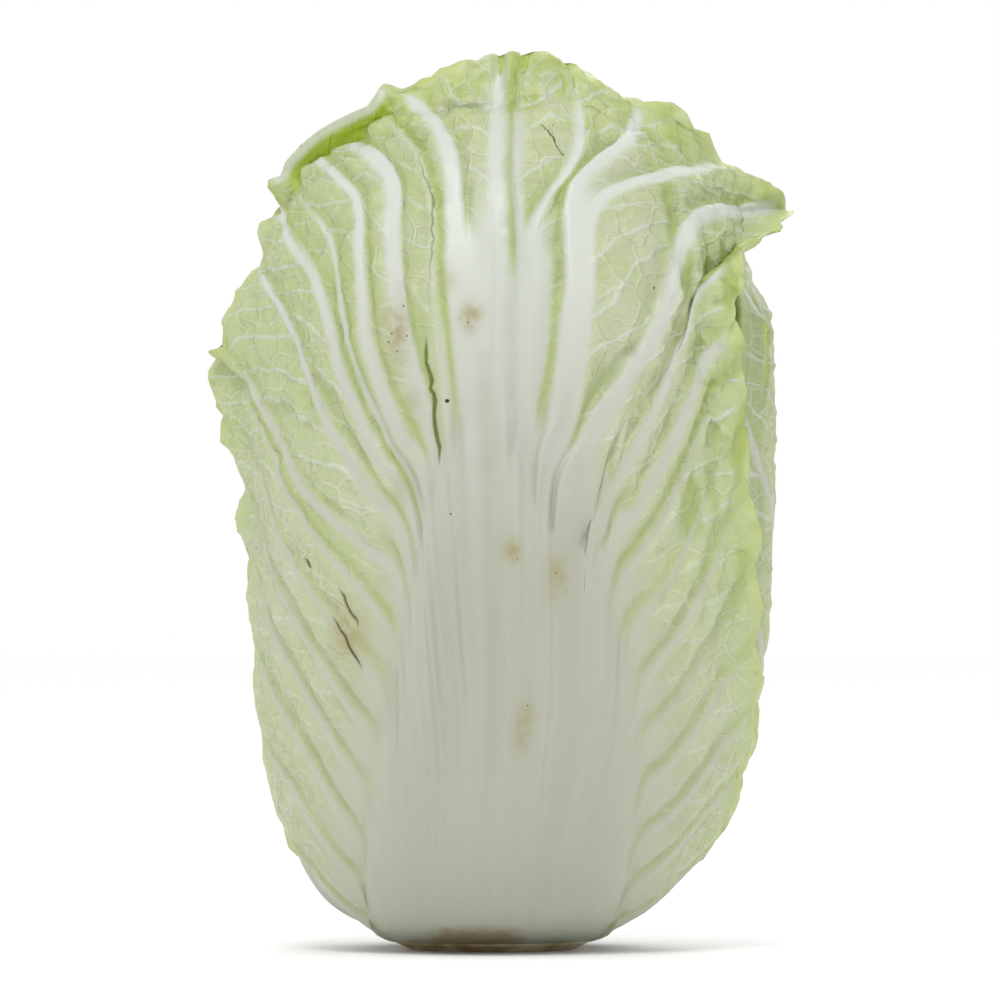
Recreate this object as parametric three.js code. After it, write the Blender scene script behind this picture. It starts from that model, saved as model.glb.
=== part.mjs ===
// A head of napa cabbage standing on its cut stem: five wrapping leaves and a heart round a stem.
// Millimetres, +Z up. The origin is the centre of the stem's cut face and -Y is the front.
//
// Every leaf is laid out on one barrel-shaped surface, the outer form of the head. A place on it
// is a bearing (degrees round the axis, 0 at the front, growing towards +X) and a reach
// (millimetres along the meridian, 0 under the stem). Each leaf lies as deep under that surface
// as the leaves outside it are thick, so the leaves wrap each other without touching.
import * as THREE from 'three';

// Outer form of the head
const crownHeight = 279;
const widestRadius = 82.5;
const widestHeight = 186;
const bottomHeight = 1;
const crownPower = 2.5;
const rootPower = 3.8;
const rootTaper = 0.05;
const leanX = 6;
const leanHeight = 90;

// Leaves
const bladeThickness = 1.2;
const layerGap = 2.7;
const coveredRelief = 0.9;
const leafBaseReach = 34;
const petioleThickness = 8;
const petioleRise = 3;
const petioleTop = [196, 246];
const ribRise = 4.2;
const ribTipRise = 1.2;
const panelRise = 0.5;
const midribSize = 1.6;
const midribExit = 215;
const plainRibSize = [0.75, 1.1];
const lowRibSize = [0.5, 0.8];
const lowestExit = 50;
const plainRibArch = 0.14;
const grooveFraction = 0.72;
const ribParting = [2, 11];
const bulgeRise = 1.8;
const bulgePitch = [0.12, 0.055];
const coverMargin = 10;
const coverFade = 26;
const rollRadius = 4;
const rollLength = 20;
const waveRise = [1.5, 4];
const bladeRows = 11;
const rollRows = 4;

// Spacing of the mesh rows: close where the form turns in at the stem and the crown, wide between
const rowSpacing = [[60, 12], [100, 26], [215, 30], [245, 16], [377, 14]];
const sidewaysSpacing = 17;

// Stem butt, as [radius, height] from the centre of the cut face round to the top
const buttOutline = [[0, 0], [27, 0], [31.7, 2.4], [30, 6], [25, 16], [19, 28], [8, 37], [0, 38]];
const buttSides = 32;

// Heart
const heartBottomReach = 62;
const heartFloorHeight = 48;
const heartColumns = 48;
const heartRows = 20;
const heartTipLeaves = 5;
const heartSwirl = 1.6;
const heartRelief = 3.5;
const heartCrownRise = 7;
const heartOpenFrom = [-20, -6];

// Half-angle of the white petiole, as [reach, degrees], from the stem to the crown
const petioleEdge = [[34, 64], [58, 48], [80, 42], [100, 38], [120, 34], [140, 30], [158, 26], [185, 22],
  [205, 17], [225, 12], [250, 9], [280, 7], [320, 5], [377, 3]];

// Half-outline of a plain outer leaf, as [degrees from its midrib, reach]
const plainOutline = [[64, 34], [72, 60], [80, 100], [84, 150], [86, 200], [86, 245], [83, 285], [76, 315],
  [63, 336], [38, 350], [0, 354]];

const radians = Math.PI / 180;

function seeded(seed) {
  let state = seed;
  return () => {
    state = (state + 0x6d2b79f5) | 0;
    let mixed = Math.imul(state ^ (state >>> 15), 1 | state);
    mixed = (mixed + Math.imul(mixed ^ (mixed >>> 7), 61 | mixed)) ^ mixed;
    return ((mixed ^ (mixed >>> 14)) >>> 0) / 4294967296;
  };
}

function smooth(value, low, high) {
  return THREE.MathUtils.smoothstep(value, low, high);
}

function mix(a, b, fraction) {
  return a + (b - a) * fraction;
}

// Value at x on straight stretches between points given as [x, value]
function along(points, x) {
  if (x <= points[0][0]) return points[0][1];
  for (let i = 1; i < points.length; i += 1) {
    const [x1, v1] = points[i];
    const [x0, v0] = points[i - 1];
    if (x <= x1) return mix(v0, v1, (x - x0) / (x1 - x0));
  }
  return points[points.length - 1][1];
}

// ---------- the head's outer form ----------

function profilePoint(angle) {
  const c = Math.abs(Math.cos(angle));
  const s = Math.sin(angle);
  const height = s >= 0 ? crownHeight - widestHeight : widestHeight - bottomHeight;
  const power = s >= 0 ? crownPower : rootPower;
  const scale = ((c / widestRadius) ** power + (Math.abs(s) / height) ** power) ** (-1 / power);
  const z = scale * s;
  const taper = s < 0 ? 1 + (rootTaper * z) / height : 1;
  return [scale * c * taper, widestHeight + z];
}

const profileSteps = 1500;
const profile = [];
let reachSoFar = 0;
for (let i = 0; i <= profileSteps; i += 1) {
  const [r, z] = profilePoint(-Math.PI / 2 + (Math.PI * i) / profileSteps);
  if (i > 0) reachSoFar += Math.hypot(r - profile[i - 1].r, z - profile[i - 1].z);
  profile.push({ reach: reachSoFar, r, z });
}

function profileAt(reach) {
  let low = 0;
  let high = profileSteps;
  while (high - low > 1) {
    const middle = (low + high) >> 1;
    if (profile[middle].reach > reach) high = middle;
    else low = middle;
  }
  const a = profile[low];
  const b = profile[high];
  const fraction = (reach - a.reach) / (b.reach - a.reach);
  return { r: mix(a.r, b.r, fraction), z: mix(a.z, b.z, fraction) };
}

// Point, outward normal, upward tangent and sideways tangent of the outer form
function formAt(bearing, reach) {
  const here = profileAt(reach);
  const step = 1;
  const below = profileAt(reach - step);
  const above = profileAt(reach + step);
  const length = Math.hypot(above.r - below.r, above.z - below.z);
  const rise = (above.z - below.z) / length;
  const spread = (above.r - below.r) / length;
  const sine = Math.sin(bearing * radians);
  const cosine = Math.cos(bearing * radians);
  const lean = leanX * smooth(here.z, 0, leanHeight);
  return {
    point: new THREE.Vector3(here.r * sine + lean, -here.r * cosine, here.z),
    normal: new THREE.Vector3(rise * sine, -rise * cosine, -spread),
    up: new THREE.Vector3(spread * sine, -spread * cosine, rise),
    side: new THREE.Vector3(cosine, sine, 0),
    radius: here.r,
  };
}

// ---------- the leaves' ribs ----------

// A rib is where it leaves the petiole and the places it passes to its tip at the margin,
// as [degrees from the midrib, reach], with its size.

function plainRib(side, exitReach, end, size, arch = plainRibArch) {
  const exit = [along(petioleEdge, exitReach), exitReach];
  const lift = arch * (end[0] - exit[0]);
  const path = [0.33, 0.66].map((f) => [mix(exit[0], end[0], f), mix(exit[1], end[1], f) + lift]);
  const places = [exit, ...path, end].map(([angle, reach]) => [side * angle, reach]);
  return { exit: places[0], path: places.slice(1), size };
}

// Ribs of one side of a plain leaf, from the one nearest the midrib down to the lowest
function plainRibs(side, leaf, random) {
  const ribs = [];
  for (let i = 0; i < leaf.ribs; i += 1) {
    const fraction = i / (leaf.ribs - 1);
    const exitReach = mix(leaf.highestExit, lowestExit, fraction ** 0.85) + mix(-3, 3, random());
    const place = (1 - fraction) * (plainOutline.length - 1.6) + 0.4;
    const before = Math.min(Math.floor(place), plainOutline.length - 2);
    const [angle0, reach0] = plainOutline[before];
    const [angle1, reach1] = plainOutline[before + 1];
    const stretch = leaf.topReach / plainOutline[plainOutline.length - 1][1];
    const angle = mix(angle0, angle1, place - before) * leaf.width + mix(-1.5, 1.5, random());
    const reach = mix(reach0, reach1, place - before) * stretch + mix(-3, 3, random());
    const end = [Math.max(angle, 4 * (i + 1)), reach];
    ribs.push(plainRib(side, exitReach, end, mix(...plainRibSize, random())));
  }
  return ribs;
}

// The front leaf's upper ribs, each where it runs. Under the hood at the upper left only the last
// `flare` millimetres of a rib stand out from the head.
const frontLeftRibs = [
  {
    exit: [-10, 234],
    size: 1.3,
    path: [[-11.5, 262], [-13, 285], [-16, 303], [-23, 317], [-34, 326], [-46, 332]],
  },
  {
    exit: [-14, 219],
    size: 1.4,
    flare: 12,
    path: [[-16, 242], [-17.5, 265], [-19, 284], [-23, 299], [-31, 310], [-41, 317], [-52, 320]],
  },
  {
    exit: [-16, 208],
    size: 0.9,
    flare: 12,
    path: [[-20, 228], [-25, 255], [-28, 278], [-31, 294], [-38, 303], [-49, 309], [-62, 313]],
  },
  {
    exit: [-18.5, 199],
    size: 1,
    flare: 12,
    path: [[-25, 216], [-31, 240], [-35, 268], [-39, 287], [-48, 296], [-59, 302], [-72, 307]],
  },
  {
    exit: [-20, 193],
    size: 0.5,
    flare: 12,
    path: [[-28, 214], [-36, 242], [-42, 268], [-48, 279], [-60, 288], [-81, 298]],
  },
  {
    exit: [-21, 189],
    size: 1,
    path: [[-30, 208], [-38, 230], [-42, 249], [-47, 262], [-55, 271], [-69, 281], [-85, 291]],
  },
  {
    exit: [-23, 178],
    size: 0.9,
    path: [[-33, 198], [-41, 213], [-49, 230], [-57, 246], [-69, 260], [-86, 270]],
  },
  {
    exit: [-25, 165],
    size: 0.8,
    path: [[-33, 178], [-42, 187], [-51, 197], [-61, 210], [-74, 226], [-88, 244]],
  },
];
const frontRightRibs = [
  {
    exit: [1.6, 215],
    size: 0.6,
    path: [[2.4, 240], [2.6, 262], [2, 280], [1.5, 300], [3, 325], [7, 350]],
  },
  {
    exit: [4, 208],
    size: 0.8,
    path: [[3.5, 232], [3.5, 255], [5, 277], [9, 290], [15, 300], [21, 313], [26, 330],
      [28, 345]],
  },
  {
    exit: [5.5, 203],
    size: 1.5,
    path: [[9, 218], [12, 238], [13.5, 262], [14.5, 284], [18, 296], [26, 304], [36, 311],
      [45, 320], [53, 328]],
  },
  {
    exit: [8, 199],
    size: 1.2,
    path: [[11.5, 214], [14.5, 236], [16.5, 262], [18, 281], [23, 290], [32, 295], [45, 298],
      [60, 301], [74, 303]],
  },
  {
    exit: [10, 194],
    size: 1.4,
    path: [[16, 210], [22, 225], [29, 240], [35, 254], [39, 266], [43, 276], [49, 283],
      [60, 286], [74, 286], [88, 283]],
  },
  {
    exit: [17, 186],
    size: 1,
    path: [[22, 197], [28, 210], [34, 228], [40, 246], [44, 257], [48, 266], [53, 276]],
  },
  {
    exit: [22, 176],
    size: 1,
    path: [[28, 189], [34, 203], [40, 220], [46, 237], [51, 252]],
  },
];
const frontMidrib = [[0, 120], [-1, 200], [-3, 270], [-4.5, 320], [-5, 350]];

// Margins of the front leaf below those ribs, as [reach, degrees]
const frontLeftMargin = [[50, 68], [62, 73], [92, 82], [130, 88], [170, 95], [225, 96]];
const frontRightMargin = [[50, 62], [62, 72], [82, 80], [118, 73], [156, 64], [188, 61], [220, 57],
  [245, 53]];

// Ribs that run out to those margins: how many, where the highest leaves the petiole, how steeply
// the highest and the lowest climb in millimetres a degree, and how far they arch up on the way
const frontLeftLower = { count: 7, highestExit: 150, slopes: [1.4, 1.2], arches: [0.06, 0.2] };
const frontRightLower = { count: 8, highestExit: 163, slopes: [2.7, 1.2], arches: [-0.1, -0.1] };

function frontLowerSide(side, margin, { count, highestExit, slopes, arches }, random) {
  const ribs = [];
  for (let i = 0; i < count; i += 1) {
    const exitReach = mix(highestExit, lowestExit, i / (count - 1));
    const slope = mix(...slopes, i / (count - 1));
    const arch = mix(...arches, i / (count - 1));
    let endReach = exitReach;
    const exitAngle = along(petioleEdge, exitReach);
    while (exitAngle + (endReach - exitReach) / slope < along(margin, endReach)) endReach += 1;
    const end = [along(margin, endReach) + mix(-1, 1, random()), endReach];
    ribs.push(plainRib(side, exitReach, end, mix(...lowRibSize, random()), arch));
  }
  return ribs;
}

// ---------- one leaf's lines, from its left edge round to its right edge ----------

// Places of one line from the stem, inside the petiole, out along its rib to the margin
function lineOf(rib, sideFraction) {
  const [exitAngle, exitReach] = rib.exit;
  const baseAcross = sideFraction * along(petioleEdge, leafBaseReach) * profileAt(leafBaseReach).r;
  const exitAcross = exitAngle * profileAt(exitReach).r;
  const places = [0, 0.33, 0.66].map((f) => {
    const reach = mix(leafBaseReach, exitReach, f);
    return [mix(baseAcross, exitAcross, f) / profileAt(reach).r, reach];
  });
  return [...places, rib.exit, ...rib.path];
}

function makeLine(places, size, exitReach, flare = rollLength) {
  const degreeWidth = widestRadius * radians;
  const points = places.map(([angle, reach]) => new THREE.Vector2(angle * degreeWidth, reach));
  const curve = new THREE.SplineCurve(points);
  curve.arcLengthDivisions = 120;
  const length = curve.getLength();
  const rollable = Math.min(flare, 0.3 * length);
  return {
    size,
    exitReach,
    length,
    rollStart: length - rollable,
    rows: rowDistances(curve, length, rollable),
    roll: 0,
    at(distance) {
      const place = curve.getPointAt(THREE.MathUtils.clamp(distance / length, 0, 1));
      return [place.x / degreeWidth, place.y];
    },
  };
}

// Distances of the mesh rows along a line, the last few of them in the margin that rolls
function rowDistances(curve, length, rollable) {
  const steps = 200;
  const needed = [0];
  for (let i = 1; i <= steps; i += 1) {
    const a = curve.getPointAt(((i - 1) / steps) * (1 - rollable / length));
    const b = curve.getPointAt((i / steps) * (1 - rollable / length));
    const upward = (b.y - a.y) / along(rowSpacing, b.y);
    needed.push(needed[i - 1] + Math.hypot(upward, (b.x - a.x) / sidewaysSpacing));
  }
  const rows = [];
  let step = 0;
  for (let row = 0; row < bladeRows; row += 1) {
    const wanted = (needed[steps] * row) / bladeRows;
    while (needed[step + 1] < wanted) step += 1;
    const fraction = (wanted - needed[step]) / (needed[step + 1] - needed[step]);
    rows.push(((step + fraction) / steps) * (length - rollable));
  }
  for (let row = 0; row <= rollRows; row += 1) rows.push(length - rollable + (rollable * row) / rollRows);
  return rows;
}

function layLines(leftRibs, rightRibs, midrib) {
  const side = (ribs, sign) => ribs.map((rib, i) => {
    const sideFraction = (sign * (i + 1)) / ribs.length;
    return makeLine(lineOf(rib, sideFraction), rib.size, rib.exit[1], rib.flare);
  });
  const middle = makeLine([[0, leafBaseReach], ...midrib], midribSize, midribExit);
  return [...side(leftRibs, -1).reverse(), middle, ...side(rightRibs, 1)];
}

// How far the front leaf's margin rolls outward, as [line number from the midrib, degrees]
const frontRolls = [[-15, 5], [-12, 8], [-11, 15], [-10, 28], [-9, 34], [-8, 24], [-7, 4], [-6, 6],
  [-5, 50], [-4, 72], [-3, 75], [-2, 62], [-1, 20], [0, 38], [1, 34], [2, 26], [3, 14], [4, 12],
  [5, 60], [6, 40], [7, 24], [11, 20], [15, 8]];

function frontLines() {
  const random = seeded(11);
  const leftRibs = [...frontLeftRibs, ...frontLowerSide(-1, frontLeftMargin, frontLeftLower, random)];
  const rightRibs = [...frontRightRibs, ...frontLowerSide(1, frontRightMargin, frontRightLower, random)];
  const lines = layLines(leftRibs, rightRibs, frontMidrib);
  lines.forEach((line, i) => {
    line.roll = along(frontRolls, i - leftRibs.length);
  });
  return lines;
}

function plainLines(leaf) {
  const random = seeded(leaf.seed);
  const leftRibs = plainRibs(-1, leaf, random);
  const rightRibs = plainRibs(1, leaf, random);
  const midrib = [[0, 120], [0, 220], [mix(-2, 2, random()), 300], [0, leaf.topReach]];
  const lines = layLines(leftRibs, rightRibs, midrib);
  lines.forEach((line, i) => {
    const fromMidrib = Math.abs(i - leaf.ribs) / leaf.ribs;
    line.roll = mix(leaf.roll, 15, smooth(fromMidrib, 0.2, 0.9)) * mix(0.7, 1.2, random());
    line.roll += along(leaf.peeled, i - leaf.ribs);
  });
  return lines;
}

// A plain leaf's margin reaches `width` times as far round as the plain outline, and up to topReach.
// Where it is peeled back, its margin rolls that much more, as [line number from the midrib, degrees].
const leaves = [
  {
    name: 'leaf_1_front',
    bearing: 0,
    lines: frontLines(),
    seed: 21,
    colour: 0xc9d3ae,
  },
  {
    name: 'leaf_2_back',
    bearing: 142,
    ribs: 10,
    width: 0.88,
    highestExit: 250,
    topReach: 356,
    roll: 9,
    peeled: [[-7, 0], [-6, 40], [-5, 90], [-4, 50], [-3, 0]],
    seed: 32,
    colour: 0xc3d0a4,
  },
  {
    name: 'leaf_3_left',
    bearing: -118,
    ribs: 9,
    width: 0.98,
    highestExit: 245,
    topReach: 344,
    roll: 20,
    peeled: [[0, 0]],
    seed: 43,
    colour: 0xcbd5b2,
  },
  {
    name: 'leaf_4_right',
    bearing: 58,
    ribs: 11,
    width: 1,
    highestExit: 240,
    topReach: 358,
    roll: 16,
    peeled: [[0, 0]],
    seed: 54,
    colour: 0xbfce98,
  },
  {
    name: 'leaf_5_inner',
    bearing: -170,
    ribs: 9,
    width: 0.95,
    highestExit: 240,
    topReach: 364,
    roll: 16,
    peeled: [[0, 0]],
    seed: 65,
    colour: 0xc2d19c,
  },
];

leaves.forEach((leaf) => {
  leaf.lines ??= plainLines(leaf);
  leaf.outline = leaf.lines.map((line) => line.at(line.length));
  leaf.outline.push([leaf.outline[leaf.outline.length - 1][0], 0], [leaf.outline[0][0], 0]);
});

// ---------- how the leaves lie over each other ----------

function fromMidrib(leaf, bearing) {
  return THREE.MathUtils.euclideanModulo(bearing - leaf.bearing + 180, 360) - 180;
}

// Millimetres from a place to the leaf's outline, positive inside it
function insideBy(leaf, bearing, reach) {
  const angle = fromMidrib(leaf, bearing);
  const scale = Math.max(profileAt(reach).r, 12) * radians;
  let nearest = Infinity;
  let inside = false;
  leaf.outline.forEach(([angle1, reach1], i) => {
    const [angle0, reach0] = leaf.outline[(i + leaf.outline.length - 1) % leaf.outline.length];
    const edgeX = (angle1 - angle0) * scale;
    const edgeY = reach1 - reach0;
    const toX = (angle - angle0) * scale;
    const toY = reach - reach0;
    const place = THREE.MathUtils.clamp((toX * edgeX + toY * edgeY) / (edgeX ** 2 + edgeY ** 2), 0, 1);
    nearest = Math.min(nearest, Math.hypot(toX - place * edgeX, toY - place * edgeY));
    const crosses = reach0 > reach !== reach1 > reach;
    if (crosses && angle < angle0 + ((reach - reach0) / edgeY) * (angle1 - angle0)) inside = !inside;
  });
  return inside ? nearest : -nearest;
}

function coverOf(leaf, bearing, reach) {
  return smooth(insideBy(leaf, bearing, reach), -coverMargin - coverFade, -coverMargin);
}

// Extra thickness of the petiole and midrib on the leaf's inner face
function petioleDepth(leaf, bearing, reach) {
  const halfWidth = 1.2 * along(petioleEdge, reach) + 6;
  const across = Math.min(Math.abs(fromMidrib(leaf, bearing)) / halfWidth, 1);
  const upward = mix(1, 0.06, smooth(reach, 70, 260));
  return petioleThickness * upward * Math.cos((across * Math.PI) / 2) ** 2;
}

function depthUnder(outerLeaves, bearing, reach) {
  let depth = 0;
  let covered = 0;
  outerLeaves.forEach((leaf) => {
    const cover = coverOf(leaf, bearing, reach);
    const layer = bladeThickness + layerGap + coveredRelief + petioleDepth(leaf, bearing, reach);
    depth += cover * layer;
    covered = Math.max(covered, cover);
  });
  return { depth, covered };
}

// ---------- leaf solids ----------

// Where a point of a rolled margin goes: along the leaf, out of it, and how far it has turned
function rolled(distance, turn) {
  const bend = Math.min(distance / rollRadius, turn);
  const rest = distance - bend * rollRadius;
  return {
    ahead: rollRadius * Math.sin(bend) + rest * Math.cos(bend),
    out: rollRadius * (1 - Math.cos(bend)) + rest * Math.sin(bend),
    bend,
  };
}

// Columns of a leaf: on each rib, and in the groove on the midrib side of the next rib out
function columnsOf(leaf) {
  const middle = (leaf.lines.length - 1) / 2;
  const columns = [];
  leaf.lines.forEach((line, i) => {
    columns.push({ lower: i, upper: i, fraction: 0, onRib: true });
    if (i < leaf.lines.length - 1) {
      const fraction = i >= middle ? grooveFraction : 1 - grooveFraction;
      columns.push({ lower: i, upper: i + 1, fraction, onRib: false });
    }
  });
  return columns;
}

// Height of the outer face over the blade: petiole plateau, then ribs that part with grooves between
function reliefAt(line, column, place, distance, gap) {
  const [angle, reach] = place;
  const withinEdge = 1 - smooth(Math.abs(angle) / along(petioleEdge, reach), 0.8, 1.15);
  const onPetiole = withinEdge * (1 - smooth(reach, ...petioleTop));
  const plateau = petioleRise * onPetiole * smooth(reach, leafBaseReach, leafBaseReach + 30);
  const upRib = smooth(reach, line.exitReach - 25, line.exitReach + 5);
  const rib = line.size * mix(ribRise, ribTipRise, (distance / line.length) ** 2) * upRib;
  const ridge = Math.max(plateau * (1 - 0.5 * upRib), rib);
  if (column.onRib) return ridge;
  return mix(ridge, Math.max(plateau * (1 - upRib), panelRise), smooth(gap, ...ribParting));
}

// Low swellings of a leaf that nothing covers
function bulgeAt(leaf, bearing, reach) {
  const across = Math.sin(bearing * bulgePitch[0] + leaf.seed);
  const upward = Math.sin(reach * bulgePitch[1] + 2 * leaf.seed);
  return bulgeRise * (0.5 + 0.5 * across * upward) * smooth(reach, 60, 140);
}

function lineBetween(lower, upper, fraction) {
  const between = {};
  ['size', 'exitReach', 'length', 'rollStart', 'roll'].forEach((key) => {
    between[key] = mix(lower[key], upper[key], fraction);
  });
  return between;
}

function leafVertex(leaf, outerLeaves, column, row) {
  const lower = leaf.lines[column.lower];
  const upper = leaf.lines[column.upper];
  const line = lineBetween(lower, upper, column.fraction);
  const places = (back) => [lower.at(lower.rows[row] - back), upper.at(upper.rows[row] - back)];
  const placeOn = ([a, b]) => [mix(a[0], b[0], column.fraction), mix(a[1], b[1], column.fraction)];
  const ends = places(0);
  const place = placeOn(ends);
  const behind = placeOn(places(2));
  const distance = mix(lower.rows[row], upper.rows[row], column.fraction);
  const bearing = leaf.bearing + place[0];
  const form = formAt(bearing, place[1]);
  const { depth, covered } = depthUnder(outerLeaves, bearing, place[1]);
  const free = 1 - smooth(covered, 0, 0.3);

  const ahead = form.side.clone().multiplyScalar((place[0] - behind[0]) * radians * form.radius);
  ahead.addScaledVector(form.up, place[1] - behind[1]).normalize();
  const past = Math.max(distance - line.rollStart, 0);
  const roll = rolled(past, line.roll * radians * free);
  const ripple = column.onRib ? 0 : leaf.waves[column.lower] * smooth(place[1], 100, 220);
  const wave = ripple * free * smooth(past, 2, rollLength);
  const bulge = bulgeAt(leaf, bearing, place[1]) * free;

  const normal = form.normal.clone().multiplyScalar(Math.cos(roll.bend));
  normal.addScaledVector(ahead, -Math.sin(roll.bend));
  const blade = form.point.clone();
  blade.addScaledVector(form.normal, roll.out + bulge - depth);
  blade.addScaledVector(ahead, roll.ahead - past);
  blade.addScaledVector(normal, wave);

  const gap = Math.hypot((ends[1][0] - ends[0][0]) * radians * form.radius, ends[1][1] - ends[0][1]);
  const thinning = 1 - 0.7 * smooth(past, 0, rollLength);
  const fullRelief = reliefAt(line, column, place, distance, gap) * thinning;
  const relief = mix(fullRelief, Math.min(fullRelief, coveredRelief), smooth(covered, 0, 0.5));
  const outer = blade.clone().addScaledVector(normal, relief);
  const inner = blade.clone().addScaledVector(normal, -bladeThickness);
  inner.addScaledVector(form.normal, -petioleDepth(leaf, bearing, place[1]) * (1 - smooth(past, 0, 5)));
  return { outer, inner };
}

// Closes two faces of rows and columns into one solid, split into triangles alike on both
function closedSheet(outer, inner) {
  const columns = outer.length;
  const rows = outer[0].length;
  const positions = [];
  [...outer, ...inner].forEach((column) => column.forEach((v) => positions.push(v.x, v.y, v.z)));
  const outerAt = (i, j) => i * rows + j;
  const innerAt = (i, j) => (columns + i) * rows + j;
  const index = [];
  for (let i = 0; i < columns - 1; i += 1) {
    for (let j = 0; j < rows - 1; j += 1) {
      index.push(outerAt(i, j), outerAt(i + 1, j), outerAt(i + 1, j + 1));
      index.push(outerAt(i, j), outerAt(i + 1, j + 1), outerAt(i, j + 1));
      index.push(innerAt(i, j), innerAt(i + 1, j + 1), innerAt(i + 1, j));
      index.push(innerAt(i, j), innerAt(i, j + 1), innerAt(i + 1, j + 1));
    }
  }
  const wall = ([i0, j0], [i1, j1]) => {
    index.push(outerAt(i0, j0), outerAt(i1, j1), innerAt(i1, j1));
    index.push(outerAt(i0, j0), innerAt(i1, j1), innerAt(i0, j0));
  };
  const lastColumn = columns - 1;
  const lastRow = rows - 1;
  for (let i = 0; i < lastColumn; i += 1) {
    wall([i + 1, 0], [i, 0]);
    wall([i, lastRow], [i + 1, lastRow]);
  }
  for (let j = 0; j < lastRow; j += 1) {
    wall([0, j], [0, j + 1]);
    wall([lastColumn, j + 1], [lastColumn, j]);
  }
  const geometry = new THREE.BufferGeometry();
  geometry.setAttribute('position', new THREE.Float32BufferAttribute(positions, 3));
  geometry.setIndex(index);
  geometry.computeVertexNormals();
  return geometry;
}

function leafGeometry(leaf, outerLeaves) {
  const random = seeded(leaf.seed);
  leaf.waves = leaf.lines.map(() => mix(...waveRise, random()));
  const columns = columnsOf(leaf);
  const outer = [];
  const inner = [];
  columns.forEach((column) => {
    const vertices = [];
    for (let row = 0; row <= bladeRows + rollRows; row += 1) {
      vertices.push(leafVertex(leaf, outerLeaves, column, row));
    }
    outer.push(vertices.map((vertex) => vertex.outer));
    inner.push(vertices.map((vertex) => vertex.inner));
  });
  return closedSheet(outer, inner);
}

// ---------- heart: the inner head, its tips swirled at the crown ----------

// Reach of the heart's rings, as [ring, reach], closer together at the crown
const heartReaches = [[0, heartBottomReach], [3, 100], [7, 220], [19, 371]];

// 1 where the heart shows between the leaves' tips, 0 under a leaf
function openAt(bearing, reach) {
  const under = (leaf) => smooth(insideBy(leaf, bearing, reach), ...heartOpenFrom);
  return leaves.reduce((open, leaf) => open * (1 - under(leaf)), smooth(reach, 290, 330));
}

function heartGeometry() {
  const topReach = profile[profileSteps].reach;
  const positions = [];
  const floorX = leanX * smooth(heartFloorHeight, 0, leanHeight);
  for (let row = 0; row < heartRows; row += 1) {
    const reach = along(heartReaches, row);
    for (let i = 0; i < heartColumns; i += 1) {
      const bearing = (i * 360) / heartColumns;
      const form = formAt(bearing, reach);
      const { depth } = depthUnder(leaves, bearing, reach);
      const turn = ((bearing + (topReach - reach) * heartSwirl) / 360) * heartTipLeaves;
      const open = openAt(bearing, reach);
      const tips = heartRelief * (turn - Math.floor(turn)) + heartCrownRise;
      const point = form.point.addScaledVector(form.normal, tips * open - depth);
      positions.push(point.x, point.y, point.z);
    }
  }
  const floor = positions.length / 3;
  positions.push(floorX, 0, heartFloorHeight);
  const top = formAt(0, topReach - 1);
  const crownDepth = depthUnder(leaves, 0, topReach - 1).depth;
  const crownRise = (heartCrownRise + heartRelief / 2) * openAt(0, topReach - 1);
  positions.push(leanX, 0, top.point.z + crownRise - crownDepth);
  const at = (row, i) => row * heartColumns + (i % heartColumns);
  const index = [];
  for (let i = 0; i < heartColumns; i += 1) {
    for (let row = 0; row < heartRows - 1; row += 1) {
      index.push(at(row, i), at(row, i + 1), at(row + 1, i + 1));
      index.push(at(row, i), at(row + 1, i + 1), at(row + 1, i));
    }
    index.push(floor, at(0, i + 1), at(0, i));
    index.push(floor + 1, at(heartRows - 1, i), at(heartRows - 1, i + 1));
  }
  const geometry = new THREE.BufferGeometry();
  geometry.setAttribute('position', new THREE.Float32BufferAttribute(positions, 3));
  geometry.setIndex(index);
  geometry.computeVertexNormals();
  return geometry;
}

// ---------- stem butt: a cut stump with a flat face, narrowing up between the leaf bases ----------

function buttGeometry() {
  const points = buttOutline.map(([r, z]) => new THREE.Vector2(r, z));
  return new THREE.LatheGeometry(points, buttSides).rotateX(Math.PI / 2);
}

// ---------- assembly ----------

function makePiece(name, geometry, colour, roughness) {
  const material = new THREE.MeshStandardMaterial({ color: colour, roughness, metalness: 0 });
  const piece = new THREE.Mesh(geometry, material);
  piece.name = name;
  return piece;
}

const head = new THREE.Group();
head.add(makePiece('stem_butt', buttGeometry(), 0xb9a984, 0.75));
leaves.forEach((leaf, i) => {
  head.add(makePiece(leaf.name, leafGeometry(leaf, leaves.slice(0, i)), leaf.colour, 0.5));
});
head.add(makePiece('heart', heartGeometry(), 0xd6dfae, 0.5));

export default head;
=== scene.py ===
import math
import bmesh
import bpy
import numpy as np
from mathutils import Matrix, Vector


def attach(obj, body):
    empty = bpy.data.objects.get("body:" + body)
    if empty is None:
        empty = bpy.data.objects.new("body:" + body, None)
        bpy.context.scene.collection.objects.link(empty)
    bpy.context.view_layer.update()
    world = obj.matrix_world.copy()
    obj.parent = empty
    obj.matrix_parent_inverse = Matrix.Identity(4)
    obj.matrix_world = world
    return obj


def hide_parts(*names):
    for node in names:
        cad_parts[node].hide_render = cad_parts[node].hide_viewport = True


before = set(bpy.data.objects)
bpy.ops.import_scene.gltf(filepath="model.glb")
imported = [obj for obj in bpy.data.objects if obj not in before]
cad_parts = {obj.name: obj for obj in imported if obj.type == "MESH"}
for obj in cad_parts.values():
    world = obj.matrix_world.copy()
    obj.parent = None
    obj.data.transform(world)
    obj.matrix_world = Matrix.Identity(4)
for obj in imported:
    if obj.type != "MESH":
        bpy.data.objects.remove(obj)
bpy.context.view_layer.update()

# A head of napa cabbage on its cut stem. Sizes are in millimetres here and become metres in finishMesh.
# A place on the head is a bearing (degrees, 0 at the front, towards +X) and a reach (mm up the meridian).

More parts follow.
